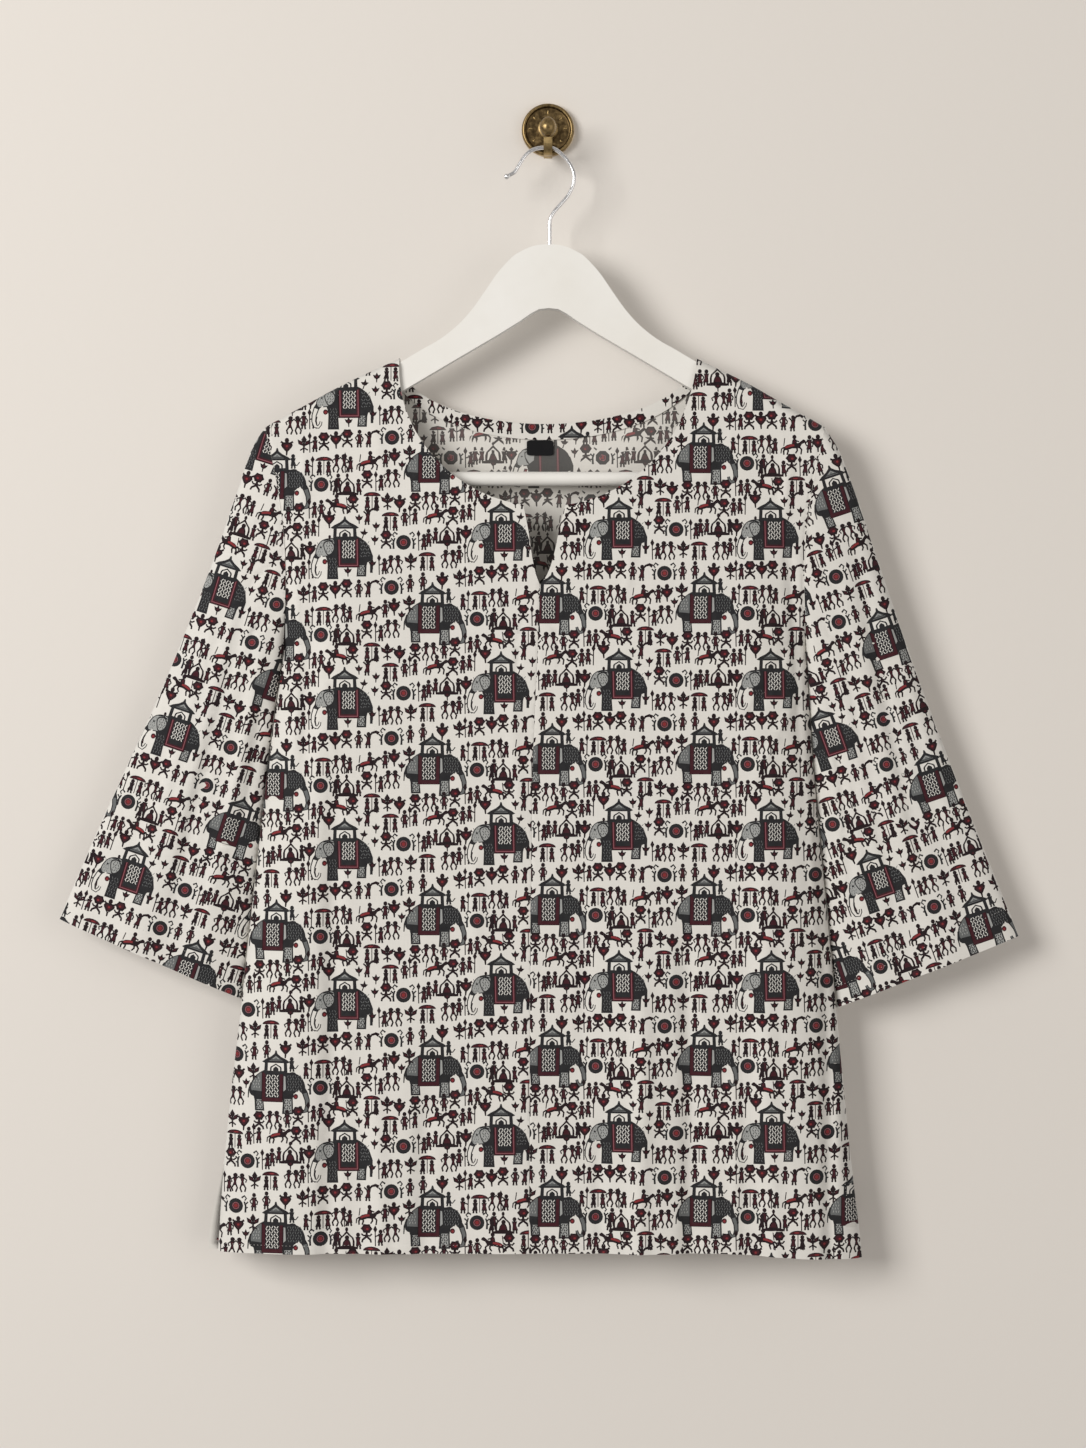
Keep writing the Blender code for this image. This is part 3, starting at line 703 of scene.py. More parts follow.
def cut_shapes(outline, grid, shapes):
    """Triangles of a flat cloth shape with the print's shapes cut into it."""
    outline = outline if signed_area(outline) > 0 else outline[::-1]
    points = [Vector(p) for p in outline]
    faces = [list(range(len(points)))]
    points += [Vector(p) for p in grid]
    inks = ["ground"]
    for ink, shape in shapes:
        shape = shape if signed_area(shape) > 0 else shape[::-1]
        first = len(points)
        points += [Vector(p) for p in shape]
        faces.append(list(range(first, first + len(shape))))
        inks.append(ink)
    found = geometry.delaunay_2d_cdt(points, [], faces, 0, 1e-4, True)
    spots = np.array([tuple(v) for v in found[0]])
    triangles = []
    members = {}
    for corners, owners in zip(found[2], found[5]):
        if 0 in owners and len(corners) == 3:
            for owner in owners:
                members.setdefault(owner, []).append(len(triangles))
            triangles.append(corners)
    triangles = np.array(triangles)
    middles = spots[triangles].mean(axis=1)
    top = np.zeros(len(triangles), dtype=int)
    for owner in range(1, len(inks)):
        held = np.array(members.get(owner, []), dtype=int)
        if len(held):
            top[held[inside_outline(shapes[owner - 1][1], middles[held])]] = owner
    colours = [inks[owner] for owner in top]
    if shapes:
        spots, triangles, colours = joined_inks(outline, grid, spots, triangles, colours)
    used, inverse = np.unique(triangles, return_inverse=True)
    return spots[used], inverse.reshape(-1, 3), colours


def joined_inks(outline, grid, spots, triangles, inks):
    """The same coloured flat shape, cut again along nothing but the borders of its inks."""
    sides = {}
    for (a, b, c), ink in zip(triangles.tolist(), inks):
        sides[(a, b)] = sides[(b, c)] = sides[(c, a)] = ink
    borders = [(a, b) for (a, b), ink in sides.items() if sides.get((b, a), "") != ink]
    kept, numbers = np.unique(np.array(borders), return_inverse=True)
    edges = numbers.reshape(-1, 2) + len(outline)
    points = [Vector(p) for p in (*outline, *spots[kept], *grid)]
    loop = list(range(len(outline)))
    found = geometry.delaunay_2d_cdt(points, edges.tolist(), [loop], 0, 1e-4, True)
    new_spots = np.array([tuple(v) for v in found[0]])
    new_triangles = np.array([
        corners for corners, owners in zip(found[2], found[5]) if 0 in owners and len(corners) == 3])
    flat = np.c_[spots, np.zeros(len(spots))]
    tree = BVHTree.FromPolygons(flat.tolist(), triangles.tolist())
    middles = new_spots[new_triangles].mean(axis=1)
    new_inks = [inks[tree.find_nearest((x, z, 0.0))[2]] for x, z in middles.tolist()]
    return new_spots, new_triangles, new_inks


def edge_loops(triangles):
    """The directed edges of a mesh that only one triangle has, as chains."""
    seen = {}
    for a, b, c in triangles:
        for start, end in ((a, b), (b, c), (c, a)):
            seen[(start, end)] = True
    follow = {start: end for (start, end) in seen if (end, start) not in seen}
    loops = []
    while follow:
        start = next(iter(follow))
        loop = [start]
        step = follow.pop(start)
        while step != start and step in follow:
            loop.append(step)
            step = follow.pop(step)
        loops.append(loop)
    return loops


def new_piece(name, vertices, faces, normals=None, colours=None, uvs=None):
    """A mesh object from arrays in millimetres, with one normal a corner."""
    data = bpy.data.meshes.new(name)
    data.from_pydata((np.asarray(vertices) * MM).tolist(), [], faces)
    if colours is not None:
        layer = data.attributes.new("ink", "FLOAT_COLOR", "CORNER")
        layer.data.foreach_set("color", np.asarray(colours, dtype=np.float32).ravel())
    if uvs is not None:
        layer = data.uv_layers.new(name="OFBake")
        layer.data.foreach_set("uv", np.asarray(uvs, dtype=np.float32).ravel())
    data.shade_smooth()
    if normals is not None:
        data.normals_split_custom_set(np.asarray(normals).tolist())
    item = bpy.data.objects.new(name, data)
    bpy.context.scene.collection.objects.link(item)
    return item


def turn_faces_out(piece):
    mesh = bmesh.new()
    mesh.from_mesh(piece.data)
    bmesh.ops.recalc_face_normals(mesh, faces=mesh.faces)
    mesh.to_mesh(piece.data)
    mesh.free()


Face = namedtuple("Face", "spots triangles inks place outward folded")


def no_fold(spots):
    """For a piece none of whose edges is shared with another side."""
    return np.zeros((len(spots), 3))


def wrong_side(ink):
    """The colour of the wrong side of the cloth where the right side has an ink."""
    if ink == "ground":
        return WRONG_SIDE
    share = WRONG_SIDE_SHARE
    return tuple(w * (1.0 - share) + c * share for w, c in zip(WRONG_SIDE, INKS[ink]))


def shell(name, sides, inner_grids, inner_shapes, wall=CLOTH):
    """A thin closed shell from one or more laid sides, each with its inner face and rim.

    The sides are the outer faces. Each inner face is cut inside its outer face's own edge.
    """
    vertices = []
    keys = {}
    faces = []
    normals = []
    colours = []
    uvs = []
    lanes = 2 * len(sides)
    low = np.min([side.spots.min(axis=0) for side in sides], axis=0)
    span = np.max([side.spots.max(axis=0) for side in sides], axis=0) - low

    def corners(points):
        ids = []
        for point, key in zip(points, map(tuple, np.round(points, 3).tolist())):
            if key not in keys:
                keys[key] = len(vertices)
                vertices.append(point)
            ids.append(keys[key])
        return ids

    def flat_place(spots, lane):
        u = (0.02 + 0.96 * (spots[:, 0] - low[0]) / span[0] + lane) / lanes
        return np.stack([u, 0.02 + 0.96 * (spots[:, 1] - low[1]) / span[1]], axis=1)

    def lay(side, spots, triangles, inks, lift, lane, wrong):
        """One face of the shell; returns the vertex of each flat spot."""
        points = side.place(spots[:, 0], spots[:, 1])
        facing = surface_normals(side.place, spots[:, 0], spots[:, 1], side.outward)
        at_fold = side.folded(spots)
        sunk = np.where(at_fold.any(axis=1)[:, None], at_fold, facing)
        ids = corners(points - sunk * lift)
        uv = flat_place(spots, lane)
        turned = (facing * (-1.0 if wrong else 1.0)).tolist()
        flip = (side.outward < 0) == wrong
        for triangle, ink in zip(triangles.tolist(), inks):
            order = triangle[::-1] if flip else triangle
            face = [ids[k] for k in order]
            if len(set(face)) < 3:
                continue
            colour = wrong_side(ink) if wrong else INKS[ink]
            faces.append(face)
            for k in order:
                normals.append(turned[k])
                colours.append((*colour, 1.0))
                uvs.append(uv[k])
        return ids

    rims = []
    for index, side in enumerate(sides):
        outer = lay(side, side.spots, side.triangles, side.inks, 0.0, index, False)
        loop = max(edge_loops(side.triangles.tolist()), key=len)
        outline = side.spots[loop]
        grid = inner_grids[index]
        grid = grid[inside_outline(outline, grid)]
        spots, triangles, inks = cut_shapes(outline, grid, inner_shapes[index])
        inner = lay(side, spots, triangles, inks, wall, lanes // 2 + index, True)
        found = {tuple(spot): k for k, spot in enumerate(np.round(spots, 3).tolist())}
        marks = [found.get(tuple(spot)) for spot in np.round(outline, 3).tolist()]
        for k in range(len(loop)):
            after = (k + 1) % len(loop)
            if marks[k] is None or marks[after] is None:
                continue
            quad = [outer[loop[after]], outer[loop[k]], inner[marks[k]], inner[marks[after]]]
            if side.outward > 0:
                quad.reverse()
            rims.append((quad, frozenset((outer[loop[k]], outer[loop[after]])),
                         flat_place(outline[[k]], index)[0]))
    uses = {}
    for _, edge, _ in rims:
        uses[edge] = uses.get(edge, 0) + 1
    for quad, edge, uv in rims:
        ring = list(dict.fromkeys(quad))
        if uses[edge] > 1 or len(ring) < 3:
            continue
        p, q, r = (vertices[ring[i]] for i in range(3))
        normal = np.cross(q - p, r - p)
        length = np.linalg.norm(normal)
        if length < 1e-7:
            continue
        faces.append(ring)
        for _ in ring:
            normals.append((normal / length).tolist())
            colours.append((*INKS["ground"], 1.0))
            uvs.append(uv)
    return new_piece(name, np.array(vertices), faces, normals, colours, uvs)


def disc(x, y, across, up=None, count=10):
    up = across if up is None else up
    angles = np.arange(count) * 2 * math.pi / count
    return np.stack([x + across * np.cos(angles), y + up * np.sin(angles)], axis=1)


def curve_through(before, start, end, after, steps):
    """Points on smooth curves from each start to its end, led by the points on either side."""
    rows = []
    for step in range(steps):
        t = step / steps
        curve = 2 * start + (end - before) * t
        curve = curve + (2 * before - 5 * start + 4 * end - after) * t * t
        curve = curve + (3 * start - before - 3 * end + after) * t ** 3
        rows.append(curve / 2)
    return np.stack(rows, axis=1).reshape(-1, start.shape[1])


def smooth(points, steps=3):
    """A closed smooth outline through a few points."""
    points = np.array(points, dtype=float)
    before = np.roll(points, 1, axis=0)
    after = np.roll(points, -1, axis=0)
    later = np.roll(points, -2, axis=0)
    return curve_through(before, points, after, later, steps)


def stroke(points, start, end=None):
    """A brush line of a few points, from one width to another."""
    points = np.array(points, dtype=float)
    end = start if end is None else end
    ahead = np.gradient(points, axis=0)
    ahead /= np.linalg.norm(ahead, axis=1)[:, None]
    side = np.stack([-ahead[:, 1], ahead[:, 0]], axis=1)
    half = np.linspace(start, end, len(points))[:, None] / 2
    return np.concatenate([points + side * half, (points - side * half)[::-1]])


def arch(x, foot, half, tall, point):
    """A pointed arch standing on its foot."""
    sides = [(half, 0.0), (half, tall * 0.45), (half * 0.86, tall * 0.68), (half * 0.45, tall * 0.88)]
    right = [(x + a, foot + b) for a, b in sides]
    left = [(x - a, foot + b) for a, b in reversed(sides)]
    return np.array(right + [(x, foot + tall + point)] + left)


def person(x, foot, tall, lean=0.0, ink="plum", robe="plum"):
    """A small standing figure."""
    top = x + lean
    return [
        (ink, stroke([(x - 1.3, foot), (x - 0.7, foot + tall * 0.4)], 1.5)),
        (ink, stroke([(x + 1.5, foot), (x + 0.7, foot + tall * 0.4)], 1.5)),
        (ink, np.array([
            (x - 2.5, foot + tall * 0.2), (x + 2.4, foot + tall * 0.2),
            (top + 1.5, foot + tall * 0.54), (top + 2.2, foot + tall * 0.78),
            (top - 2.2, foot + tall * 0.78), (top - 1.4, foot + tall * 0.52)])),
        (robe, np.array([
            (x - 1.5, foot + tall * 0.27), (x + 1.4, foot + tall * 0.27),
            (top + 0.8, foot + tall * 0.55), (top + 1.2, foot + tall * 0.7),
            (top - 1.2, foot + tall * 0.7), (top - 0.8, foot + tall * 0.52)])),
        (ink, disc(top, foot + tall * 0.91, 1.75, 1.95, 7)),
    ]


def draw_figure():
    return person(0.0, -7.4, 14.4, 0.3, robe="maroon") + [
        ("plum", stroke([(1.2, 2.8), (3.3, 0.2), (2.6, -2.4)], 1.2)),
        ("plum", stroke([(-1.2, 2.8), (-3.1, 0.6), (-1.8, -1.6)], 1.2)),
    ]


def draw_spear():
    return person(1.7, -7.4, 12.8, 0.2, robe="maroon") + [
        ("plum", stroke([(-2.4, -7.9), (-2.6, 4.0)], 0.9)),
        ("plum", np.array([(-2.6, 9.4), (-0.9, 6.0), (-2.5, 2.8), (-4.3, 6.0)])),
        ("plum", stroke([(1.2, 1.6), (-2.4, 0.2)], 1.1)),
    ]


def draw_plant():
    petals = []
    for step in range(12):
        angle = 2 * math.pi * step / 12
        reach = 4.6 + 0.5 * math.cos(6 * angle)
        petals.append((reach * math.cos(angle), 4.0 + 0.84 * reach * math.sin(angle)))
    return [
        ("plum", np.array(petals)),
        ("maroon", disc(0.0, 4.2, 2.9, 2.2, 9)),
        ("red", disc(0.6, 3.6, 1.1, 0.9, 7)),
        ("plum", stroke([(0.0, 1.0), (0.1, -3.0)], 2.0)),
        ("plum", stroke([(-4.4, -0.4), (-2.6, -1.9), (0.0, -1.6), (2.8, -2.0), (4.4, -0.2)], 1.4)),
        ("plum", stroke([(-3.8, -7.6), (-3.4, -5.4), (0.2, -2.4)], 1.5, 1.9)),
        ("plum", stroke([(3.8, -7.4), (3.3, -5.2), (-0.2, -2.4)], 1.5, 1.9)),
    ]


def draw_bulb():
    return [
        ("plum", smooth([(0.0, -4.2), (2.8, -1.8), (4.9, 1.4), (3.0, 4.0), (0.0, 3.4),
                         (-3.0, 4.0), (-4.9, 1.4), (-2.8, -1.8)], 2)),
        ("maroon", smooth([(0.0, -2.4), (1.6, -0.8), (3.0, 1.4), (1.6, 2.6), (0.0, 2.2),
                           (-1.6, 2.6), (-3.0, 1.4), (-1.6, -0.8)], 2)),
        ("plum", disc(0.0, 5.4, 1.9, 2.3, 8)),
        ("plum", stroke([(-5.0, 4.4), (-2.4, 2.6)], 1.9, 1.2)),
        ("plum", stroke([(5.0, 4.4), (2.4, 2.6)], 1.9, 1.2)),
        ("plum", stroke([(0.0, -3.4), (0.3, -7.2)], 1.7, 1.1)),
        ("red", disc(0.0, 0.6, 1.1, 1.0, 6)),
    ]


def draw_leaf():
    return [
        ("plum", np.array([(0.0, 7.6), (2.4, 3.8), (0.0, -0.2), (-2.4, 3.8)])),
        ("plum", np.array([(5.4, 4.2), (4.6, 0.2), (0.2, -1.8), (1.4, 2.4)])),
        ("plum", np.array([(-5.4, 4.2), (-1.4, 2.4), (-0.2, -1.8), (-4.6, 0.2)])),
        ("maroon", np.array([(3.9, 2.6), (3.4, 0.8), (1.4, -0.2), (2.0, 1.8)])),
        ("maroon", np.array([(-3.9, 2.6), (-2.0, 1.8), (-1.4, -0.2), (-3.4, 0.8)])),
        ("plum", stroke([(0.0, 1.0), (0.2, -7.2)], 1.9, 1.2)),
        ("plum", stroke([(-3.2, -4.8), (0.0, -3.0), (3.2, -5.0)], 1.3)),
    ]


def draw_sprig():
    return [
        ("plum", np.array([(0.0, 4.2), (1.2, 1.6), (3.4, 2.2), (2.2, -0.6), (0.7, -1.6), (-0.7, -1.6),
                           (-2.2, -0.6), (-3.4, 2.2), (-1.2, 1.6)])),
        ("maroon", disc(0.0, 0.4, 1.1, 1.0, 6)),
        ("plum", stroke([(0.0, -1.0), (0.2, -4.4)], 1.2, 0.8)),
    ]


def draw_roundel():
    shapes = [
        ("charcoal", disc(0.0, 0.0, 6.2, 6.2, 16)),
        ("rose", disc(0.0, 0.0, 3.0, 3.0, 10)),
        ("charcoal", disc(0.0, 0.0, 2.4, 2.4, 9)),
        ("red", disc(0.0, 0.0, 1.8, 1.8, 7)),
    ]
    for side in (-1.0, 1.0):
        curl = [(side * 5.0, 6.6), (side * 7.4, 8.4), (side * 9.0, 6.2), (side * 7.6, 4.4)]
        shapes += [
            ("charcoal", stroke(curl, 1.5, 1.1)),
            ("charcoal", stroke([(side * 7.2, 3.6), (side * 8.4, 0.0), (side * 8.2, -5.4)], 1.3, 1.7)),
            ("charcoal", stroke([(side * 8.2, 1.2), (side * 10.4, 3.4)], 1.2)),
            ("charcoal", stroke([(side * 8.2, -2.0), (side * 10.2, -1.0)], 1.1)),
        ]
    return shapes


def draw_parasol():
    canopy = [(7.3 * math.cos(a), 3.9 + 3.6 * math.sin(a)) for a in np.linspace(0.0, math.pi, 9)]
    shapes = [
        ("plum", np.array(canopy)),
        ("maroon", np.array([(x * 0.82, 4.5 + (z - 3.9) * 0.68) for x, z in canopy])),
        ("red", disc(1.0, 5.6, 2.2, 0.6, 8)),
        ("plum", stroke([(0.0, 4.4), (0.0, -7.4)], 0.7)),
    ]
    shapes += person(-3.9, -8.2, 11.2, 0.3)
    shapes += person(4.0, -8.2, 11.2, -0.2, robe="maroon")
    return shapes


def draw_dancers():
    shapes = []
    for side in (-1.0, 1.0):
        shapes += [
            ("plum", disc(side * 2.9, 6.0, 2.1, 1.9, 8)),
            ("plum", np.array([(side * 1.0, 4.6), (side * 5.1, 4.6), (side * 4.2, 0.6),
                               (side * 5.5, -2.6), (side * 1.6, -2.2), (side * 2.2, 0.8)])),
            ("maroon", np.array([(side * 2.0, 3.6), (side * 4.2, 3.6), (side * 3.4, 0.4),
                                 (side * 4.2, -1.6), (side * 2.6, -1.4), (side * 2.8, 0.8)])),
            ("plum", stroke([(side * 2.4, -1.6), (side * 1.2, -4.4), (side * 2.6, -7.8)], 1.4)),
            ("plum", stroke([(side * 4.4, -1.8), (side * 6.0, -4.4), (side * 5.2, -7.4)], 1.4)),
            ("plum", stroke([(side * 4.6, 3.8), (side * 6.8, 2.4), (side * 5.8, 0.2)], 1.2)),
        ]
    shapes.append(("plum", stroke([(-1.6, 3.6), (0.0, 5.0), (1.6, 3.6)], 1.3)))
    return shapes


def draw_plume():
    return person(-1.8, -7.4, 12.8, 0.6, robe="maroon") + [
        ("plum", stroke([(-0.6, 2.2), (1.6, 5.2), (4.8, 6.2), (7.4, 4.8)], 1.2, 3.0)),
        ("plum", stroke([(-2.4, 1.8), (-4.8, 4.0)], 1.3)),
    ]


def draw_rider():
    return [
        ("plum", smooth([(-10.6, 2.6), (-8.4, 4.4), (-4.8, 1.6), (0.0, 0.8), (5.4, -0.4), (8.2, -3.2),
                         (6.0, -4.8), (0.6, -3.2), (-4.8, -3.0), (-7.2, 0.4), (-9.6, 1.4)], 2)),
        ("red", np.array([(-0.8, 0.4), (1.6, 0.5), (7.0, -1.9), (6.2, -3.2), (1.8, -1.8), (-1.0, -1.3)])),
        ("plum", stroke([(-4.8, -1.8), (-7.0, -4.2), (-6.4, -8.2)], 1.7, 1.2)),
        ("plum", stroke([(-3.0, -2.0), (-3.4, -5.0), (-1.8, -7.4)], 1.7, 1.2)),
        ("plum", stroke([(5.0, -2.8), (4.2, -5.4), (5.2, -8.6)], 1.8, 1.2)),
        ("plum", stroke([(6.8, -3.0), (8.0, -5.6), (7.8, -8.6)], 1.8, 1.2)),
        ("plum", stroke([(7.4, -2.2), (9.8, -3.8), (10.2, -7.4)], 1.4, 0.9)),
        ("plum", np.array([(-3.2, 0.4), (1.3, 0.2), (0.6, 4.0), (-1.0, 5.0), (-2.8, 4.0)])),
        ("maroon", np.array([(-2.0, 1.2), (0.3, 1.0), (-0.2, 3.2), (-1.0, 3.8), (-1.8, 3.2)])),
        ("plum", disc(-1.0, 6.3, 1.8, 2.0, 8)),
        ("plum", stroke([(-1.8, 3.4), (-5.0, 2.4)], 1.2)),
        ("plum", stroke([(7.0, 5.4), (7.8, -1.0)], 0.8)),
    ]


def draw_shrine():
    shapes = [
        ("plum", arch(0.0, -7.2, 6.6, 12.6, 2.0)),
        ("ground", arch(0.0, -5.2, 4.9, 9.2, 1.0)),
        ("plum", stroke([(-8.0, -7.0), (8.0, -7.0)], 2.2)),
        ("plum", np.array([(-3.9, -5.6), (3.9, -5.6), (2.9, -2.0), (1.2, 0.2), (-1.8, 0.2), (-3.1, -2.2)])),
        ("maroon", np.array([
            (-2.6, -4.8), (2.6, -4.8), (1.8, -2.0), (0.6, -0.8), (-1.2, -0.8), (-2.0, -2.4)])),
        ("plum", disc(-0.3, 1.6, 1.9, 2.0, 9)),
        ("plum", disc(0.0, 8.4, 1.3, 1.9, 8)),
    ]
    shapes += person(-10.0, -8.0, 13.0, 0.6, robe="maroon")
    shapes += person(9.8, -8.0, 13.0, -0.6)
    return shapes


def hatch(shapes, ink, low, high, count, slope, width, jog=0.0):
    """Short slanting brush lines spread over a box, in rows that step aside."""
    across, up = count
    for row in range(up):
        for column in range(across):
            x = low[0] + (high[0] - low[0]) * (column + 0.5) / across + jog * (row % 2)
            y = low[1] + (high[1] - low[1]) * (row + 0.5) / up
            lean = slope if (row + column) % 2 else -slope
            shapes.append((ink, stroke([(x - lean, y - 0.8), (x + lean, y + 0.8)], width)))


def inset(points, share):
    """A shape drawn smaller about its own middle."""
    middle = points.mean(axis=0)
    return middle + (points - middle) * share


def draw_legs(hatched):
    """Two legs with dark outlines; those that are hatched are pale inside."""
    hind = np.array([
        (10.2, -9.0), (20.6, -8.0), (18.6, -16.0), (18.2, -24.8), (10.2, -24.8), (11.0, -16.0)])
    fore = np.array([
        (-15.4, -5.0), (-4.4, -6.0), (-5.6, -16.0), (-4.8, -27.0), (-14.2, -27.0), (-13.8, -15.0)])
    shapes = [("charcoal", hind), ("charcoal", fore)]
    shapes.append(("grey", np.array([(11.8, -15.6), (16.9, -15.6), (16.7, -23.4), (11.8, -23.4)])))
    hatch(shapes, "charcoal", (11.8, -23.2), (16.8, -15.8), (3, 4), 0.5, 0.75, 0.5)
    if hatched:
        shapes.append(("grey", np.array([(-12.6, -14.6), (-7.0, -14.6), (-6.6, -25.6), (-12.8, -25.6)])))
        hatch(shapes, "charcoal", (-12.6, -25.4), (-6.8, -14.8), (3, 5), 0.5, 0.8, 0.5)
    else:
        hatch(shapes, "slate", (-13.2, -25.4), (-6.4, -9.0), (3, 7), 0.4, 0.45, 0.6)
    return shapes


def draw_seat():
    """The roofed seat: posts, a window with two arches, and a pointed roof."""
    return [
        ("charcoal", np.array([(-9.4, 5.8), (10.6, 5.8), (9.8, 16.2), (-8.9, 16.2)])),
        ("ground", np.array([(-6.4, 8.5), (7.4, 8.5), (7.2, 15.2), (-6.2, 15.2)])),
        ("charcoal", arch(0.5, 8.2, 4.9, 5.6, 0.7)),
        ("ground", arch(0.5, 8.4, 3.6, 4.4, 0.5)),
        ("charcoal", arch(0.5, 8.2, 2.3, 3.6, 0.4)),
        ("charcoal", np.array([
            (-11.6, 15.6), (-9.4, 14.9), (10.2, 14.9), (12.2, 15.7), (9.4, 17.8), (4.6, 20.2), (1.6, 22.6),
            (0.9, 25.2), (-0.2, 25.2), (-0.9, 22.6), (-3.8, 20.2), (-8.6, 17.8)])),
        ("slate", np.array([(-5.4, 16.6), (6.2, 16.6), (0.4, 20.9)])),
        ("charcoal", stroke([(-4.4, 17.4), (5.2, 17.4)], 0.5)),
        ("grey", stroke([(-1.9, 18.2), (0.4, 20.0), (2.7, 18.2)], 0.6)),
    ]


def draw_saddle(pale_line):
    """The saddle cloth: a maroon border round a black field with white brush marks."""
    edge = np.array([(-6.1, 7.2), (12.4, 7.2), (12.8, -17.4), (-5.5, -17.4)])
    field = np.array([(-2.9, 5.9), (9.2, 5.9), (9.5, -13.9), (-2.4, -13.9)])
    shapes = [("plum", edge), ("maroon", edge * (0.93, 0.965) + (0.24, -0.16))]
    if pale_line:
        shapes += [
            ("rose", np.array([(-4.7, 6.4), (10.9, 6.4), (11.3, -15.9), (-4.2, -15.9)])),
            ("maroon", np.array([(-4.1, 6.0), (10.3, 6.0), (10.7, -15.3), (-3.6, -15.3)])),
        ]
    shapes.append(("charcoal", field))
    foot = -9.6 if pale_line else -13.4
    rows = 8 if pale_line else 9
    hatch(shapes, "ground", (-2.2, foot), (8.8, 5.2), (5, rows), 0.55, 0.62, 0.5)
    return shapes


def draw_elephant(dark_head):
    """An elephant facing left with a saddle cloth and a roofed seat."""
    trunk = [(-20.8, -4.6), (-23.9, -9.6), (-25.7, -15.2), (-26.0, -20.2), (-24.6, -24.2), (-22.2, -24.9),
             (-20.4, -22.6), (-19.9, -20.2)]
    face = smooth([(-8.0, 6.2), (-13.4, 7.0), (-18.6, 5.4), (-22.2, 1.6), (-24.2, -4.6), (-22.6, -8.8),
                   (-17.6, -8.4), (-12.4, -7.4), (-8.2, -3.0)])
    body = smooth([(-15.0, 2.0), (-8.0, 7.6), (4.0, 9.4), (11.0, 8.6), (19.0, 2.6), (22.8, -6.0),
                   (21.4, -12.2), (10.0, -14.6), (-4.0, -14.6), (-14.8, -10.0)])
    shapes = [("charcoal", body)]
    if dark_head:
        rump = smooth([(12.0, 6.0), (16.4, 4.0), (20.4, -1.6), (21.4, -7.4), (18.0, -9.6), (12.4, -9.6)])
        shapes += [
            ("charcoal", stroke([(21.4, -2.0), (23.6, -8.0), (24.0, -14.4)], 1.5, 0.9)),
            ("slate", rump),
        ]
        hatch(shapes, "grey", (13.4, -6.6), (20.0, 3.4), (3, 4), 0.3, 0.6, 0.6)
    else:
        shapes.append(("charcoal", stroke([(19.8, -1.0), (22.6, -8.0), (22.5, -21.8)], 3.0, 2.2)))
        hatch(shapes, "slate", (13.2, -9.6), (21.0, 5.0), (4, 5), 0.6, 0.5, 0.6)
    shapes += draw_legs(dark_head)
    inner = "charcoal" if dark_head else "grey"
    shapes += [
        ("charcoal", stroke(trunk, 5.2, 2.3)),
        ("charcoal", face),
        ("slate" if dark_head else "ground", stroke(trunk[1:], 2.9, 0.9)),
        (inner, inset(face, 0.89)),
    ]
    if dark_head:
        lobe = smooth([(-15.6, 7.4), (-9.6, 6.4), (-7.9, 0.6), (-9.6, -6.4), (-13.6, -10.4), (-18.2, -6.6),
                       (-19.0, 1.0)])
        shapes += [
            ("charcoal", lobe),
            ("grey", np.array([(-7.6, 3.8), (-6.2, 4.4), (-6.0, -8.4), (-8.0, -6.6)])),
        ]
        hatch(shapes, "slate", (-22.0, -8.0), (-9.2, 5.4), (6, 6), 0.35, 0.5, 0.6)
    else:
        lobe = smooth([(-17.4, 3.2), (-12.0, 5.4), (-8.2, 1.6), (-8.8, -4.2), (-13.2, -7.6), (-16.4, -3.2)])
        shapes += [("charcoal", lobe), ("grey", inset(lobe, 0.82))]
        hatch(shapes, "charcoal", (-15.6, -5.0), (-9.4, 4.0), (3, 4), 0.5, 0.5, 0.5)
        hatch(shapes, "slate", (-23.0, -7.6), (-17.8, 4.0), (3, 5), 0.35, 0.45, 0.5)
        shapes += [
            ("charcoal", stroke([(-17.2, 5.2), (-12.8, 6.0), (-9.0, 4.4)], 1.0)),
            ("charcoal", disc(-19.6, -0.4, 1.0, 0.8, 7)),
        ]
    shapes += [
        ("maroon", disc(-16.2, -12.4, 2.1, 2.3, 9)),
        ("red", disc(-16.2, -12.6, 1.1, 1.2, 7)),
        ("ground", stroke([(-18.4, -7.6), (-21.0, -10.6)], 1.3, 0.5)),
    ]
    shapes += draw_saddle(not dark_head) + draw_seat()
    if dark_head:
        shapes += person(-13.2, 8.0, 11.4, 0.3, ink="charcoal", robe="charcoal")
        shapes.append(("charcoal", stroke([(-13.4, 11.8), (-16.2, 10.6), (-18.4, 13.4)], 0.9)))
    else:
        shapes += [
            ("plum", np.array([
                (13.0, 12.6), (14.6, 10.2), (17.4, 9.6), (19.8, 12.0), (17.8, 12.4), (17.0, 15.6),
                               (15.8, 12.6)])),
            ("plum", stroke([(16.2, 10.4), (14.8, 6.6)], 0.9)),
            ("plum", disc(-12.2, 8.2, 1.2, 1.6, 7)),
        ]
    return shapes


def mirrored(shapes):
    return [(ink, points * (-1.0, 1.0)) for ink, points in shapes]


DRAWINGS = {
    "figure": draw_figure(),
    "spear": draw_spear(),
    "plant": draw_plant(),
    "bulb": draw_bulb(),
    "leaf": draw_leaf(),
    "sprig": draw_sprig(),
    "roundel": draw_roundel(),
    "parasol": draw_parasol(),
    "dancers": draw_dancers(),
    "plume": draw_plume(),
    "rider": draw_rider(),
    "shrine": draw_shrine(),
    "elephant_left": draw_elephant(False),
    "elephant_right": mirrored(draw_elephant(True)),
}


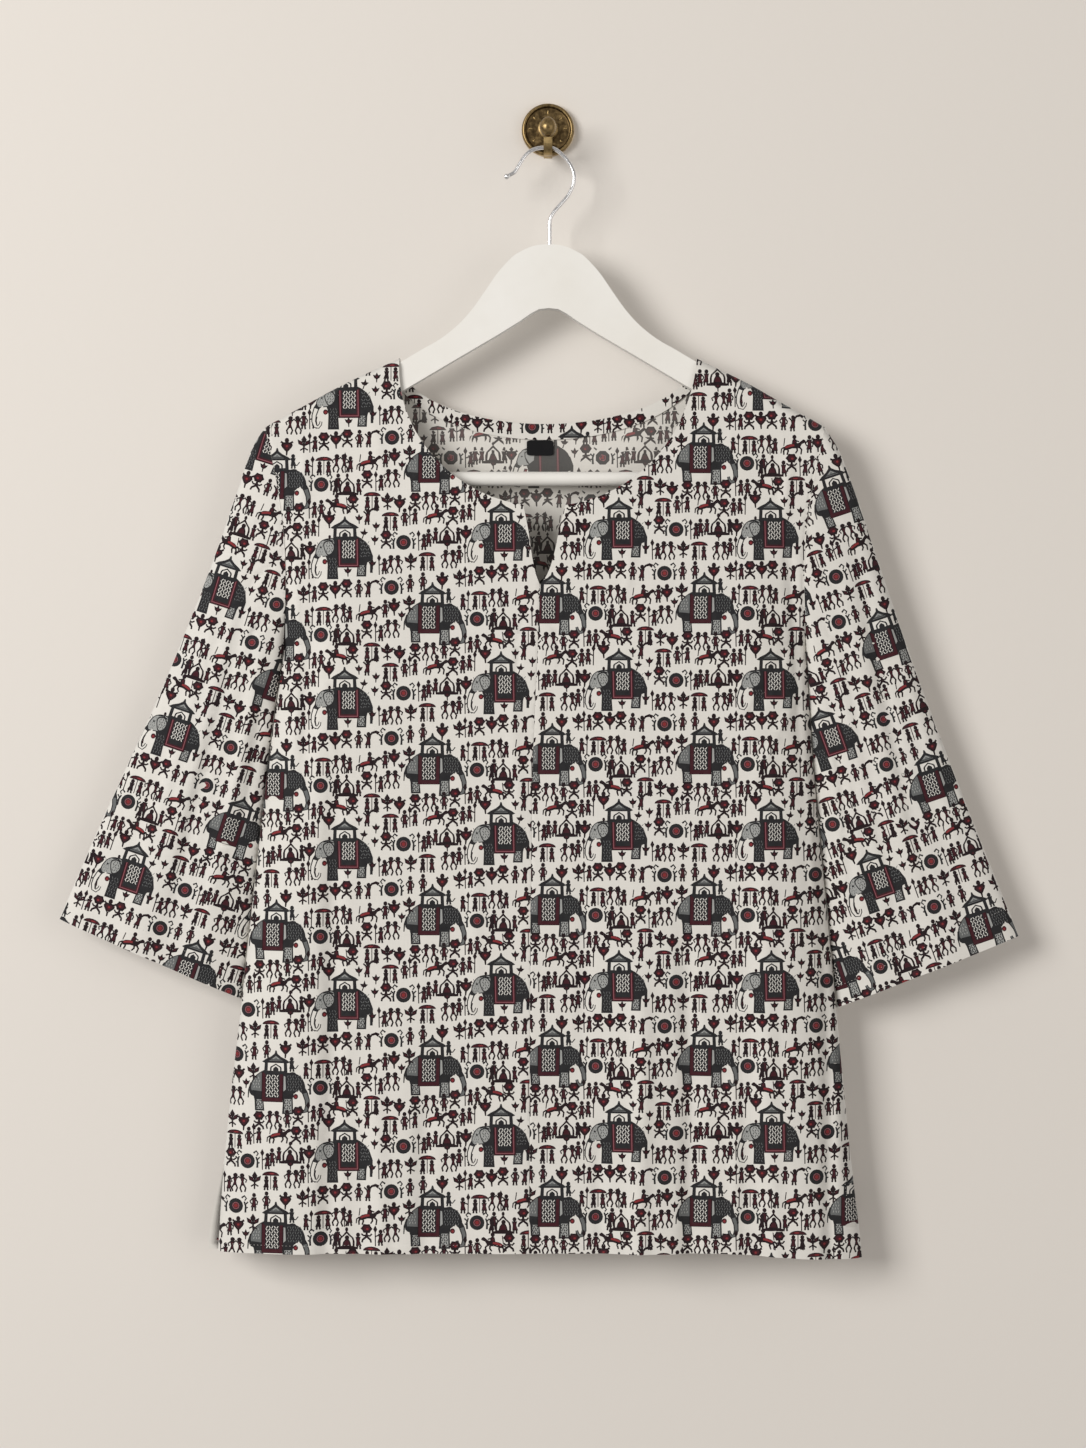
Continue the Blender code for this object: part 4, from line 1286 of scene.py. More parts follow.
def plainer(shapes):
    """A drawing without its smallest marks, and with fewer points on its outlines."""
    kept = []
    for ink, points in shapes:
        if abs(signed_area(points)) < PLAIN_LEAST:
            continue
        while len(points) > 4:
            before = np.roll(points, 1, axis=0) - points
            after = np.roll(points, -1, axis=0) - points
            corners = np.abs(before[:, 0] * after[:, 1] - before[:, 1] * after[:, 0]) / 2
            if corners.min() > PLAIN_CORNER:
                break
            points = np.delete(points, corners.argmin(), axis=0)
        kept.append((ink, points))
    return kept


PLAIN_DRAWINGS = {kind: plainer(shapes) for kind, shapes in DRAWINGS.items()}

REACHES = {
    kind: max(float(np.linalg.norm(points, axis=1).max()) for _, points in shapes)
    for kind, shapes in DRAWINGS.items()
}


LARGEST_MOTIF = 30.0
REPEATS_ACROSS = 8       # repeats looked at on each side of the first one
REPEATS_DOWN = 10


def print_shapes(layout, outline, drawings=DRAWINGS):
    """The repeat's shapes that meet a cloth shape's outline."""
    turn = math.radians(layout.turn)
    across = np.array([math.cos(turn), math.sin(turn)])
    up = np.array([-math.sin(turn), math.cos(turn)])
    low = outline.min(axis=0)
    high = outline.max(axis=0)
    reach = np.linalg.norm(high - low) / 2 + LARGEST_MOTIF
    cell = [Motif("elephant_left", 0.0, 0.0), Motif("elephant_right", *SECOND_ELEPHANT)] + FILLERS
    stamps = []
    probes = []
    circle = disc(0.0, 0.0, 1.0, 1.0, 8)
    for column in range(-REPEATS_ACROSS, REPEATS_ACROSS + 1):
        for row in range(-REPEATS_DOWN, REPEATS_DOWN + 1):
            for number, motif in enumerate(cell):
                x = motif.x * layout.width / MOTIF_SPAN + column * layout.width
                y = motif.y - row * CELL_HEIGHT + layout.climb * x / layout.width
                spot = np.array([layout.x, layout.z]) + across * x + up * y
                if np.linalg.norm(spot - (low + high) / 2) > reach:
                    continue
                sign = -1.0 if number > 1 and (number * 7 + 3) % 5 < 2 else 1.0
                stamps.append((motif.kind, spot, sign))
                probes.append(np.concatenate([[spot], spot + circle * REACHES[motif.kind]]))
    inside = inside_outline(outline, np.concatenate(probes)).reshape(len(stamps), -1).any(axis=1)
    shapes = []
    for (kind, spot, sign), meets in zip(stamps, inside):
        if meets:
            for ink, points in drawings[kind]:
                shapes.append((ink, spot + points[:, :1] * sign * across + points[:, 1:] * up))
    return shapes


def grid_points(low, high, spacing):
    """Staggered points over a box."""
    points = []
    for index, z in enumerate(np.arange(low[1], high[1], spacing)):
        shift = spacing / 2 * (index % 2)
        for x in np.arange(low[0] + shift, high[0], spacing):
            points.append((x, z))
    return np.array(points)


TURN_ROWS = [0.08, 0.4, 1.0, 2.0, 3.4, 5.2, 7.4, 10.0, 14.0]
EDGE_COLUMNS = [0.05, 0.25, 0.7, 1.5, 2.6, 4.2, 6.4, 9.2, 12.8, 17.0, 22.0, 28.0, 35.0]
HEM_ROWS = [0.5, 2.6, 5.0, 6.3, 7.0, 7.7, 9.2]
SEAM_COLUMNS = [0.5, 1.2, 2.2, 3.8]


def panel_grid(outline, spacing):
    """Points inside a body panel, closer where it turns or has a seam or hem."""
    points = grid_points(outline.min(axis=0), outline.max(axis=0), spacing)
    reach = np.abs(points[:, 0] - middle_x(points[:, 1]))
    drop = shoulder_height(reach) - points[:, 1]
    inward = half_width(points[:, 1]) - reach
    above_hem = points[:, 1] - hem_height(points[:, 0])
    points = points[(drop > 16.0) & (inward > 37.0) & (above_hem > 11.0)]
    sets = [points]
    reaches, drops = map(np.ravel, np.meshgrid(np.arange(98.0, SHOULDER_HALF, 5.0), TURN_ROWS))
    heights = shoulder_height(reaches) - drops
    sides, rows = map(np.ravel, np.meshgrid(EDGE_COLUMNS, np.arange(HEM - 6.0, SHOULDER_POINT, 5.2)))
    side_reaches = half_width(rows) - sides
    below = shoulder_height(side_reaches) - rows > 14.0
    for sign in (-1.0, 1.0):
        sets.append(np.stack([middle_x(heights) + sign * reaches, heights], axis=1))
        sets.append(np.stack([middle_x(rows) + sign * side_reaches, rows], axis=1)[below])
        seam_x, seam_z = map(np.ravel, np.meshgrid(SEAM_COLUMNS, np.arange(HEM, -390.0, 5.0)))
        sets.append(np.stack([centre_front_x(seam_z) + sign * seam_x, seam_z], axis=1))
    hem_x, hem_rows = map(np.ravel, np.meshgrid(np.arange(-270.0, 262.0, 6.0), HEM_ROWS))
    sets.append(np.stack([hem_x, hem_height(hem_x) + hem_rows], axis=1))
    points = np.concatenate(sets)
    return points[inside_outline(outline, points)]


def neck_curve(drop, inner_reach, count):
    last = math.acos(inner_reach / NECK_HALF)
    angles = last * (np.arange(1, count + 1) / count) ** 1.3
    return NECK_HALF * np.cos(angles), NECK_TOP - drop * np.sin(angles)


def side_edge(sign, flare=0.0, step=7.0):
    """Points down a side, from the shoulder point to the hem."""
    heights = np.concatenate([np.arange(SHOULDER_POINT, HEM + step, -step), [HEM]])
    widen = flare * ease((SLIT_TOP - heights) / FLARE_FALL)
    x = middle_x(heights) + sign * half_width(heights) + widen
    points = np.stack([x, heights], axis=1)
    points[-1, 1] = hem_height(points[-1, 0])
    return points


def shoulder_edge(sign):
    """Points along a shoulder, from its point to the neck."""
    reaches = np.linspace(SHOULDER_HALF, NECK_HALF, 24)[1:]
    heights = shoulder_height(reaches)
    return np.stack([middle_x(heights) + sign * reaches, heights], axis=1)


def hem_edge(start, end):
    x = np.linspace(start, end, 40)[1:-1]
    return np.stack([x, hem_height(x)], axis=1)


def front_outline(sign):
    """Round a front panel: side, hem, centre seam, slit, neck and shoulder."""
    side = side_edge(sign)
    seam_heights = np.arange(HEM, NECK_SLIT[-1].height - 1.0, 9.0)
    seam = np.stack([centre_front_x(seam_heights) + sign * FRONT_SEAM_HALF, seam_heights], axis=1)
    slit = [(row.left if sign < 0 else row.right, row.height) for row in reversed(NECK_SLIT)]
    slit_x = NECK_SLIT_LEFT if sign < 0 else NECK_SLIT_RIGHT
    inner = abs(slit_x - float(middle_x(NECK_TOP - FRONT_NECK_DROP)))
    reaches, heights = neck_curve(FRONT_NECK_DROP, inner, 26)
    neck = np.stack([middle_x(heights) + sign * reaches, heights], axis=1)[::-1]
    hem = hem_edge(side[-1, 0], seam[0, 0])
    return np.concatenate([side, hem, seam, np.array(slit), neck, shoulder_edge(sign)[::-1]])


def back_outline():
    left = side_edge(-1.0, -LEFT_FLARE)
    right = side_edge(1.0, -RIGHT_FLARE)
    reaches, heights = neck_curve(BACK_NECK_DROP, 0.0, 26)
    neck_left = np.stack([middle_x(heights) - reaches, heights], axis=1)
    neck_right = np.stack([middle_x(heights) + reaches, heights], axis=1)[:-1][::-1]
    hem = hem_edge(left[-1, 0], right[-1, 0])
    return np.concatenate([
        left, hem, right[::-1], shoulder_edge(1.0), neck_right[::-1], neck_left[::-1],
        shoulder_edge(-1.0)[::-1]])


def make_panel(name, outline, panel, spacing=6.5):
    """A body panel as a printed shell."""
    drawings = PLAIN_DRAWINGS if panel is BACK else DRAWINGS
    shapes = print_shapes(PRINTS[name], outline, drawings)
    spots, triangles, inks = cut_shapes(outline, panel_grid(outline, spacing), shapes)
    outer = Face(spots, triangles, inks, place_on_panel(panel), panel.side, no_fold)
    shown_inside = []
    if panel is BACK:
        window = back_neck_window()
        shown_inside = [
            (ink, points) for ink, points in shapes
            if points[:, 1].min() > window[:, 1].min() and inside_outline(window, points).all()
        ]
    return shell(name + "_cloth", [outer], [panel_grid(outline, spacing * 1.4)], [shown_inside])


WINDOW_START = 3.0
WINDOW_FOOT = [
    (120.0, -260.0), (90.0, -330.0), (30.0, -410.0), (-40.0, -410.0), (-100.0, -330.0), (-120.0, -260.0)]


def back_neck_window():
    """The stretch of the back's inner face that shows through the neck."""
    reaches, heights = neck_curve(BACK_NECK_DROP + WINDOW_START, 0.0, 12)
    left = np.stack([-reaches, heights], axis=1)
    right = np.stack([reaches, heights], axis=1)[:-1][::-1]
    return np.concatenate([left, right, np.array(WINDOW_FOOT)])


def clipped(points, measure, low, high):
    """The part of a closed shape where a measure taken at its points is between two values."""
    points = list(points)
    measure = list(measure)
    for sign, limit in ((1.0, low), (-1.0, high)):
        kept = []
        kept_measure = []
        for k in range(len(points)):
            after = (k + 1) % len(points)
            inside = sign * (measure[k] - limit) >= 0.0
            inside_after = sign * (measure[after] - limit) >= 0.0
            if inside:
                kept.append(points[k])
                kept_measure.append(measure[k])
            if inside != inside_after:
                t = (limit - measure[k]) / (measure[after] - measure[k])
                kept.append(points[k] + (points[after] - points[k]) * t)
                kept_measure.append(limit)
        points = kept
        measure = kept_measure
    return np.array(points)


class Sleeve:
    """A sleeve's form: its sections run from the armhole to the cuff."""

    def __init__(self, sections, side, creases, seed):
        middle = float(middle_x(UNDERARM))
        top = middle + side * (float(half_width(SHOULDER_POINT)) + SLEEVE_GAP)
        sections = [Section(0.0, top, SHOULDER_POINT, UNDERARM)] + sections
        self.marks = np.linspace(0.0, 1.0, 401)
        self.columns = {
            column: read(sections, "along", column, self.marks)
            for column in ("outer_x", "outer_z", "seam_z")
        }
        seam_z = self.columns["seam_z"]
        self.columns["seam_x"] = middle_x(seam_z) + side * (half_width(seam_z) + SLEEVE_GAP)
        self.side = side
        self.creases = creases
        self.seed = seed

    def column(self, name, along):
        return np.interp(along, self.marks, self.columns[name])

    def leaving(self, along):
        """How much of the armhole's own form is left at a place."""
        return 1.0 - ease(along / ARMHOLE_FADE)

    def bow(self, along, share):
        held = np.clip(share, 0.0, 1.0)
        return self.side * self.leaving(along) * ARMHOLE_BOW * np.sin(math.pi * held)

    def spot(self, along, share):
        """The front view's point at a place on the sleeve."""
        outer_x = self.column("outer_x", along)
        outer_z = self.column("outer_z", along)
        x = outer_x + (self.column("seam_x", along) - outer_x) * share - self.bow(along, share)
        return x, outer_z + (self.column("seam_z", along) - outer_z) * share

    def reach(self, x, z):
        """The place on the sleeve of a point in the front view, or past its folded edges."""
        share = np.full(len(x), 0.5)
        along = np.full(len(x), 0.5)
        for _ in range(6):
            moved = x + self.bow(along, share)
            low = np.zeros(len(x))
            high = np.ones(len(x))
            for _ in range(22):
                along = (low + high) / 2
                outer_x = self.column("outer_x", along)
                outer_z = self.column("outer_z", along)
                run_x = self.column("seam_x", along) - outer_x
                run_z = self.column("seam_z", along) - outer_z
                beyond = self.side * (run_x * (z - outer_z) - run_z * (moved - outer_x)) > 0
                low = np.where(beyond, along, low)
                high = np.where(beyond, high, along)
            share = ((moved - outer_x) * run_x + (z - outer_z) * run_z) / (run_x ** 2 + run_z ** 2)
        return along, share

    def locate(self, x, z):
        """The place on the sleeve of a point in the front view."""
        along, share = self.reach(x, z)
        share = np.where(share < FOLD_SNAP, 0.0, np.where(share > 1.0 - FOLD_SNAP, 1.0, share))
        return along, share

    def depth(self, along, share, x, z, creases):
        leaving = self.leaving(along)
        half = ARMHOLE_DEPTH + (CUFF_DEPTH - ARMHOLE_DEPTH) * along
        around = np.arccos(np.clip(1.0 - 2.0 * share, -1.0, 1.0))
        lens = half * np.clip(np.sin(around), 0.0, 1.0) ** 0.85
        wave = np.sin(math.pi * share) * np.cos(5.0 * math.pi * share)
        fold = SLEEVE_FOLD * ease(along * 1.6) * wave
        at_armhole = armhole_depth(SHOULDER_POINT + (UNDERARM - SHOULDER_POINT) * share)
        from_edge = np.minimum(share, 1.0 - share)
        at_armhole = at_armhole * np.clip(from_edge / ARMHOLE_CLOSES, 0.0, 1.0)
        settled = np.clip(np.sin(math.pi * share), 0.0, 1.0) ** 0.7
        detail = crease_height(creases, x, z) + ripple(x, z, self.seed)
        pinch = np.exp(-((along * SLEEVE_LENGTH - 1.2) / 2.2) ** 2)
        from_cuff = (1.0 - along) * SLEEVE_LENGTH
        hem = HEM_STEP * (1.0 - ease((from_cuff - CUFF_STITCH + 0.7) / 1.4))
        form = at_armhole * leaving + (lens + fold) * (1.0 - leaving)
        return form + settled * (detail + hem - 0.5 * pinch)

    def placer(self, front):
        creases = self.creases
        if not front:
            creases = [row._replace(height=-row.height * BACK_CREASE_SHARE) for row in creases]

        def place_at(along, share):
            x, z = self.spot(along, share)
            centre = MIDDLE + SLEEVE_BACKSET * ease(along)
            depth = self.depth(along, share, x, z, creases)
            return np.stack([x, centre + (-depth if front else depth), z], axis=1)
        return place_at


# The sleeve mesh's rows: shares of its length by the armhole seam, then even ones between
# two shares, then millimetres above the cuff's edge
SEAM_ROWS = [0.0, 0.004, 0.012]
SLEEVE_ROWS = (0.026, 0.945, 54)
CUFF_ROWS = [19.4, 18.4, 17.9, 17.2, 14.0, 8.0, 3.0, 0.8, 0.0]
SLEEVE_COLUMNS = 31


def make_sleeve(name, sleeve):
    """A sleeve as a printed tube: its front and back halves share their folded edges."""
    cuff_rows = 1.0 - np.array(CUFF_ROWS) / SLEEVE_LENGTH
    steps = np.concatenate([SEAM_ROWS, np.linspace(*SLEEVE_ROWS), cuff_rows])
    around = (1.0 - np.cos(np.linspace(0.0, math.pi, SLEEVE_COLUMNS))) / 2

    def row(along, shares):
        return np.stack(sleeve.spot(np.full(len(shares), along), shares), axis=1)

    def column(alongs, share):
        return np.stack(sleeve.spot(alongs, np.full(len(alongs), share)), axis=1)

    def folded(spots):
        """The outward direction at the folded edges, the same for both halves; zero elsewhere."""
        along, share = sleeve.locate(spots[:, 0], spots[:, 1])
        away = spots - np.stack(sleeve.spot(along, np.full(len(spots), 0.5)), axis=1)
        away /= np.maximum(1e-6, np.linalg.norm(away, axis=1))[:, None]
        away[(share > 0.0) & (share < 1.0)] = 0.0
        return np.stack([away[:, 0], np.zeros(len(spots)), away[:, 1]], axis=1)

    outline = np.concatenate([
        row(0.0, around[:-1]), column(steps[:-1], 1.0), row(1.0, around[::-1][:-1]),
        column(steps[::-1][:-1], 0.0)])
    grid = np.concatenate([row(along, around[1:-1]) for along in steps[1:-1]])
    coarse = np.concatenate([row(along, around[1:-1]) for along in steps[2:-1:2]])
    sides = []
    for front in (True, False):
        layout = PRINTS[name]
        if not front:
            layout = layout._replace(x=layout.x + BACK_PRINT_X, z=layout.z + BACK_PRINT_Z)
        shapes = print_shapes(layout, outline)
        points = np.concatenate([shape for _, shape in shapes])
        _, share = sleeve.reach(points[:, 0], points[:, 1])
        ends = np.cumsum([len(shape) for _, shape in shapes])
        kept = []
        for index, (ink, shape) in enumerate(shapes):
            first = ends[index] - len(shape)
            keep = FOLD_KEEP * (1.0 + 0.11 * (index % 12))
            piece = clipped(shape, share[first:ends[index]], keep, 1.0 - keep)
            if len(piece) > 2 and abs(signed_area(piece)) > LEAST_PRINT:
                kept.append((ink, piece))
        spots, triangles, inks = cut_shapes(outline, grid, kept)
        place_at = sleeve.placer(front)

        def place(x, z, place_at=place_at):
            return place_at(*sleeve.locate(x, z))
        sides.append(Face(spots, triangles, inks, place, -1.0 if front else 1.0, folded))
    return shell(name + "_cloth", sides, [coarse, coarse], [[], []])


def place_on_inside(lift):
    """Places points off the back panel's inner face, towards the front."""
    outer = place_on_panel(BACK)

    def place(x, z):
        return outer(x, z) - surface_normals(outer, x, z, BACK.side) * (CLOTH + lift)
    return place


def facing_row(width, angles):
    reach = (NECK_HALF + width * FACING_SPREAD) * np.cos(angles)
    height = NECK_TOP - (BACK_NECK_DROP + width) * np.sin(angles)
    return np.stack([middle_x(height) + reach, height], axis=1)


def make_facing():
    """The printed band that finishes the back neck, on the inner face."""
    first = math.radians(FACING_FIRST)
    angles = np.linspace(first, math.pi - first, 91)
    outline = np.concatenate([facing_row(FACING_EDGE, angles), facing_row(FACING_WIDTH, angles)[::-1]])
    grid = np.concatenate([facing_row(width, angles[1:-1]) for width in FACING_ROWS])
    shapes = print_shapes(PRINTS["neck_facing"], outline)
    spots, triangles, inks = cut_shapes(outline, grid, shapes)
    face = Face(spots, triangles, inks, place_on_inside(FACING_LIFT), -1.0, no_fold)
    return shell("neck_facing_cloth", [face], [grid[::2]], [[]], FACING_WALL)


def make_label():
    """A small blank woven label under the middle of the facing."""
    top = NECK_TOP - BACK_NECK_DROP - FACING_WIDTH - FACING_EDGE
    middle = np.array([LABEL_X, top - LABEL_HEIGHT / 2])
    angles = np.arange(48) * 2 * math.pi / 48
    round_box = np.stack([np.cos(angles), np.sin(angles)], axis=1)
    round_box = np.sign(round_box) * np.abs(round_box) ** 0.25
    half = np.array([LABEL_WIDTH, LABEL_HEIGHT]) / 2
    across, down = np.meshgrid(np.linspace(-0.85, 0.85, 12), np.linspace(-0.85, 0.85, 8))
    grid = middle + np.stack([across.ravel(), down.ravel()], axis=1) * half
    spots, triangles, inks = cut_shapes(middle + round_box * half, grid, [])
    face = Face(spots, triangles, inks, place_on_inside(FACING_LIFT), -1.0, no_fold)
    return shell("label_tape", [face], [grid], [[]], FACING_WALL)


# Corners of one stitch: its start, a ring of four and its end
STITCH_FACES = [(0, 2, 1), (0, 3, 2), (0, 4, 3), (0, 1, 4), (5, 1, 2), (5, 2, 3), (5, 3, 4), (5, 4, 1)]

Run = namedtuple("Run", "route place outward")


def make_stitching(name, runs):
    """Short threads along flat routes, each pressed into the cloth at its ends."""
    blocks = []
    for route, place, outward in runs:
        marks = np.concatenate([[0.0], np.cumsum(np.linalg.norm(np.diff(route, axis=0), axis=1))])
        starts = np.arange(0.5, marks[-1] - STITCH_LENGTH, STITCH_PITCH)
        flat = []
        for distance in (starts, starts + STITCH_LENGTH / 2, starts + STITCH_LENGTH):
            flat.append((np.interp(distance, marks, route[:, 0]), np.interp(distance, marks, route[:, 1])))
        start, middle, end = (place(*spot) for spot in flat)
        normal = surface_normals(place, *flat[1], outward)
        side = np.cross(end - start, normal)
        side *= STITCH_HALF / np.linalg.norm(side, axis=1)[:, None]
        sunk = normal * STITCH_HALF
        ring = [middle + side, middle + sunk, middle - side, middle - sunk]
        blocks.append(np.stack([start - sunk, *ring, end - sunk], axis=1))
    corners = np.concatenate(blocks)
    firsts = np.arange(len(corners))[:, None, None] * 6
    faces = (firsts + np.array(STITCH_FACES)[None]).reshape(-1, 3).tolist()
    colours = np.tile((*INKS["ground"], 1.0), (len(faces) * 3, 1))
    piece = new_piece(name, corners.reshape(-1, 3), faces, None, colours)
    turn_faces_out(piece)
    return piece


def neck_stitch_route(sign, drop, last):
    angles = np.linspace(math.radians(6.0), last, 40)
    reach = (NECK_HALF + NECK_STITCH) * np.cos(angles)
    height = NECK_TOP - (drop + NECK_STITCH) * np.sin(angles)
    return np.stack([middle_x(height) + sign * reach, height], axis=1)


def slit_stitch_route(sign):
    heights = np.linspace(SLIT_TOP + 4.0, HEM + HEM_STITCH, 16)
    x = middle_x(heights) + sign * (half_width(heights) - SLIT_STITCH)
    return np.stack([x, heights], axis=1)


def hem_stitch_route(start, end):
    x = np.linspace(start, end, 60)
    return np.stack([x, hem_height(x) + HEM_STITCH], axis=1)


def front_stitching(sign, outline):
    place = place_on_panel(FRONT)
    x = outline[:, 0]
    slit_x = NECK_SLIT_LEFT if sign < 0 else NECK_SLIT_RIGHT
    inner = abs(slit_x - float(middle_x(NECK_TOP - FRONT_NECK_DROP)))
    last = math.acos((inner + NECK_STITCH) / NECK_HALF)
    columns = [(row.left if sign < 0 else row.right, row.height) for row in NECK_SLIT[:-1]]
    notch = np.array(columns) + (sign * NECK_STITCH, 0.0)
    routes = [
        hem_stitch_route(x.min() + 3.0, x.max() - 3.0),
        slit_stitch_route(sign),
        neck_stitch_route(sign, FRONT_NECK_DROP, last),
        notch,
    ]
    return [Run(route, place, FRONT.side) for route in routes]


def back_stitching(outline):
    x = outline[:, 0]
    routes = [
        hem_stitch_route(x.min() + 3.0, x.max() - 3.0),
        slit_stitch_route(-1.0),
        slit_stitch_route(1.0),
        neck_stitch_route(-1.0, BACK_NECK_DROP, math.pi / 2),
        neck_stitch_route(1.0, BACK_NECK_DROP, math.pi / 2),
    ]
    return [Run(route, place_on_panel(BACK), BACK.side) for route in routes]


def sleeve_stitching(sleeve):
    shares = np.linspace(0.01, 0.99, 60)
    along = np.full(len(shares), 1.0 - CUFF_STITCH / SLEEVE_LENGTH)
    route = np.stack(sleeve.spot(along, shares), axis=1)
    runs = []
    for front in (True, False):
        def place(x, z, place_at=sleeve.placer(front)):
            return place_at(*sleeve.locate(x, z))
        runs.append(Run(route, place, -1.0 if front else 1.0))
    return runs


def smooth_route(points, steps):
    """Points on a smooth curve through an open route's own points."""
    points = np.array(points, dtype=float)
    points = np.concatenate([points[:1], points, points[-1:]])
    route = curve_through(points[:-3], points[1:-2], points[2:-1], points[3:], steps)
    return np.concatenate([route, points[-1:]])


def tube(name, route, radii, sides):
    """A round bar along a route, with closed ends."""
    ahead = np.gradient(route, axis=0)
    ahead /= np.linalg.norm(ahead, axis=1)[:, None]
    side = np.cross(ahead, (0.0, 1.0, 0.0))
    side /= np.linalg.norm(side, axis=1)[:, None]
    up = np.cross(side, ahead)
    angles = np.arange(sides) * 2 * math.pi / sides
    spread = side[:, None] * np.cos(angles)[None, :, None] + up[:, None] * np.sin(angles)[None, :, None]
    rings = route[:, None] + spread * np.asarray(radii)[:, None, None]
    faces = []
    for row in range(len(route) - 1):
        for k in range(sides):
            after = (k + 1) % sides
            first = row * sides
            faces.append((first + k, first + after, first + sides + after, first + sides + k))
    faces.append(tuple(range(sides)))
    faces.append(tuple(range(len(route) * sides - 1, (len(route) - 1) * sides - 1, -1)))
    piece = new_piece(name, rings.reshape(-1, 3), faces)
    turn_faces_out(piece)
    piece.data.set_sharp_from_angle(angle=math.radians(50.0))
    return piece


def hanger_outline():
    """The hanger's outline, under the shoulders just below the cloth."""
    half = [tuple(edge) for edge in HANGER_UPPER]
    for reach in HANGER_UNDER_SHOULDER:
        droop = HANGER_UNDER_CLOTH + HANGER_DROOP * (reach - NECK_HALF)
        half.append((reach, float(shoulder_height(reach + LEAN_ALLOWANCE)) - droop))
    half += [tuple(edge) for edge in HANGER_LOWER]
    return half + [(-reach, height) for reach, height in reversed(half[1:-1])]


def flat_plate(name, outline, half_thickness, bevel, segments):
    """A plate cut to an outline, its edges rounded."""
    curve = bpy.data.curves.new(name, "CURVE")
    curve.dimensions = "2D"
    curve.fill_mode = "BOTH"
    curve.extrude = half_thickness * MM
    spline = curve.splines.new("POLY")
    spline.points.add(len(outline) - 1)
    for point, (across, up) in zip(spline.points, outline):
        point.co = (across * MM, up * MM, 0.0, 1.0)
    spline.use_cyclic_u = True
    source = bpy.data.objects.new(name + "_curve", curve)
    bpy.context.scene.collection.objects.link(source)
    graph = bpy.context.evaluated_depsgraph_get()
    data = bpy.data.meshes.new_from_object(source.evaluated_get(graph))
    mesh = bmesh.new()
    mesh.from_mesh(data)
    bmesh.ops.remove_doubles(mesh, verts=mesh.verts, dist=0.00001)
    mesh.to_mesh(data)
    mesh.free()
    bpy.data.objects.remove(source)
    data.shade_smooth()
    piece = bpy.data.objects.new(name, data)
    bpy.context.scene.collection.objects.link(piece)
    edges = piece.modifiers.new("Edges", "BEVEL")
    edges.width = bevel * MM
    edges.segments = segments
    edges.limit_method = "ANGLE"
    edges.angle_limit = math.radians(60.0)
    edges.harden_normals = True
    return piece


def make_hanger():
    outline = smooth(hanger_outline(), 4)
    body = flat_plate("hanger_wood", outline, HANGER_THICK / 2, HANGER_EDGE, 6)
    body.location = Vector((HANGER_X, MIDDLE, 0.0)) * MM
    body.rotation_euler = (math.pi / 2, 0.0, 0.0)
    places = np.linspace(-BAR_HALF, BAR_HALF, 41)
    route = np.stack([HANGER_X + places, np.full(41, MIDDLE), np.full(41, BAR_HEIGHT)], axis=1)
    radii = BAR_RADIUS - 0.06 * (1.0 + np.sin(places / 31.0))
    return body, tube("trouser_bar_wood", route, radii, 40)


def make_hook_wire():
    bends = [(bend.x, MIDDLE, bend.z) for bend in WIRE_BENDS]
    route = smooth_route(bends, 6)
    radii = np.full(len(route), WIRE_RADIUS)
    ahead = (route[-1] - route[-2]) / np.linalg.norm(route[-1] - route[-2])
    reach = np.linspace(0.6, 2 * WIRE_TIP - 0.15, 10)
    ball = np.sqrt(WIRE_TIP ** 2 - (reach - WIRE_TIP) ** 2)
    route = np.concatenate([route, route[-1] + ahead * reach[:, None]])
    return tube("hook_wire_steel", route, np.concatenate([radii, ball]), 20)


def turned(name, profile, steps):
    """A round piece turned from a profile that runs from its top to its foot."""
    data = bpy.data.meshes.new(name)
    points = [(radius * MM, 0.0, height * MM) for radius, height in profile]
    data.from_pydata(points, [(index, index + 1) for index in range(len(points) - 1)], [])
    piece = bpy.data.objects.new(name, data)
    bpy.context.scene.collection.objects.link(piece)
    screw = piece.modifiers.new("Turn", "SCREW")
    screw.steps = steps
    screw.render_steps = steps
    screw.use_merge_vertices = True
    screw.merge_threshold = 0.00001
    screw.use_smooth_shade = True
    return piece


def make_rose_marks():
    """Small worn raised marks round the rose: a bar, curls and drops, none a letter."""
    vertices = []
    faces = []
    for row in ROSE_MARKS:
        angle = math.radians(row.angle)
        centre = np.array([math.sin(angle), math.cos(angle)]) * ROSE_MARK_REACH
        out = np.array([math.sin(angle), math.cos(angle)])
        across = np.array([out[1], -out[0]])
        bend = np.linspace(-1.0, 1.0, 9)
        path = centre + np.outer(bend * row.length / 2, out)
        path = path + np.outer((1.0 - bend ** 2) * row.curl, across)
        first = len(vertices)
        for index, spot in enumerate(path):
            width = row.width / 2 * math.sqrt(max(0.06, 1.0 - bend[index] ** 2))
            for side, lift in ((-1.0, 0.0), (-0.6, 0.7), (0.0, 1.0), (0.6, 0.7), (1.0, 0.0)):
                x, z = spot + across * width * side
                vertices.append((x, -(ROSE_FACE - 0.15 + ROSE_MARK_RAISE * lift), z))
        for index in range(8):
            for side in range(4):
                corner = first + index * 5 + side
                faces.append((corner, corner + 1, corner + 6, corner + 5))
            foot = first + index * 5
            faces.append((foot, foot + 5, foot + 9, foot + 4))
        faces.append(tuple(first + side for side in range(5)))
        faces.append(tuple(first + 44 - side for side in range(5)))
    piece = new_piece("wall_rose_marks", vertices, faces)
    turn_faces_out(piece)
    return piece


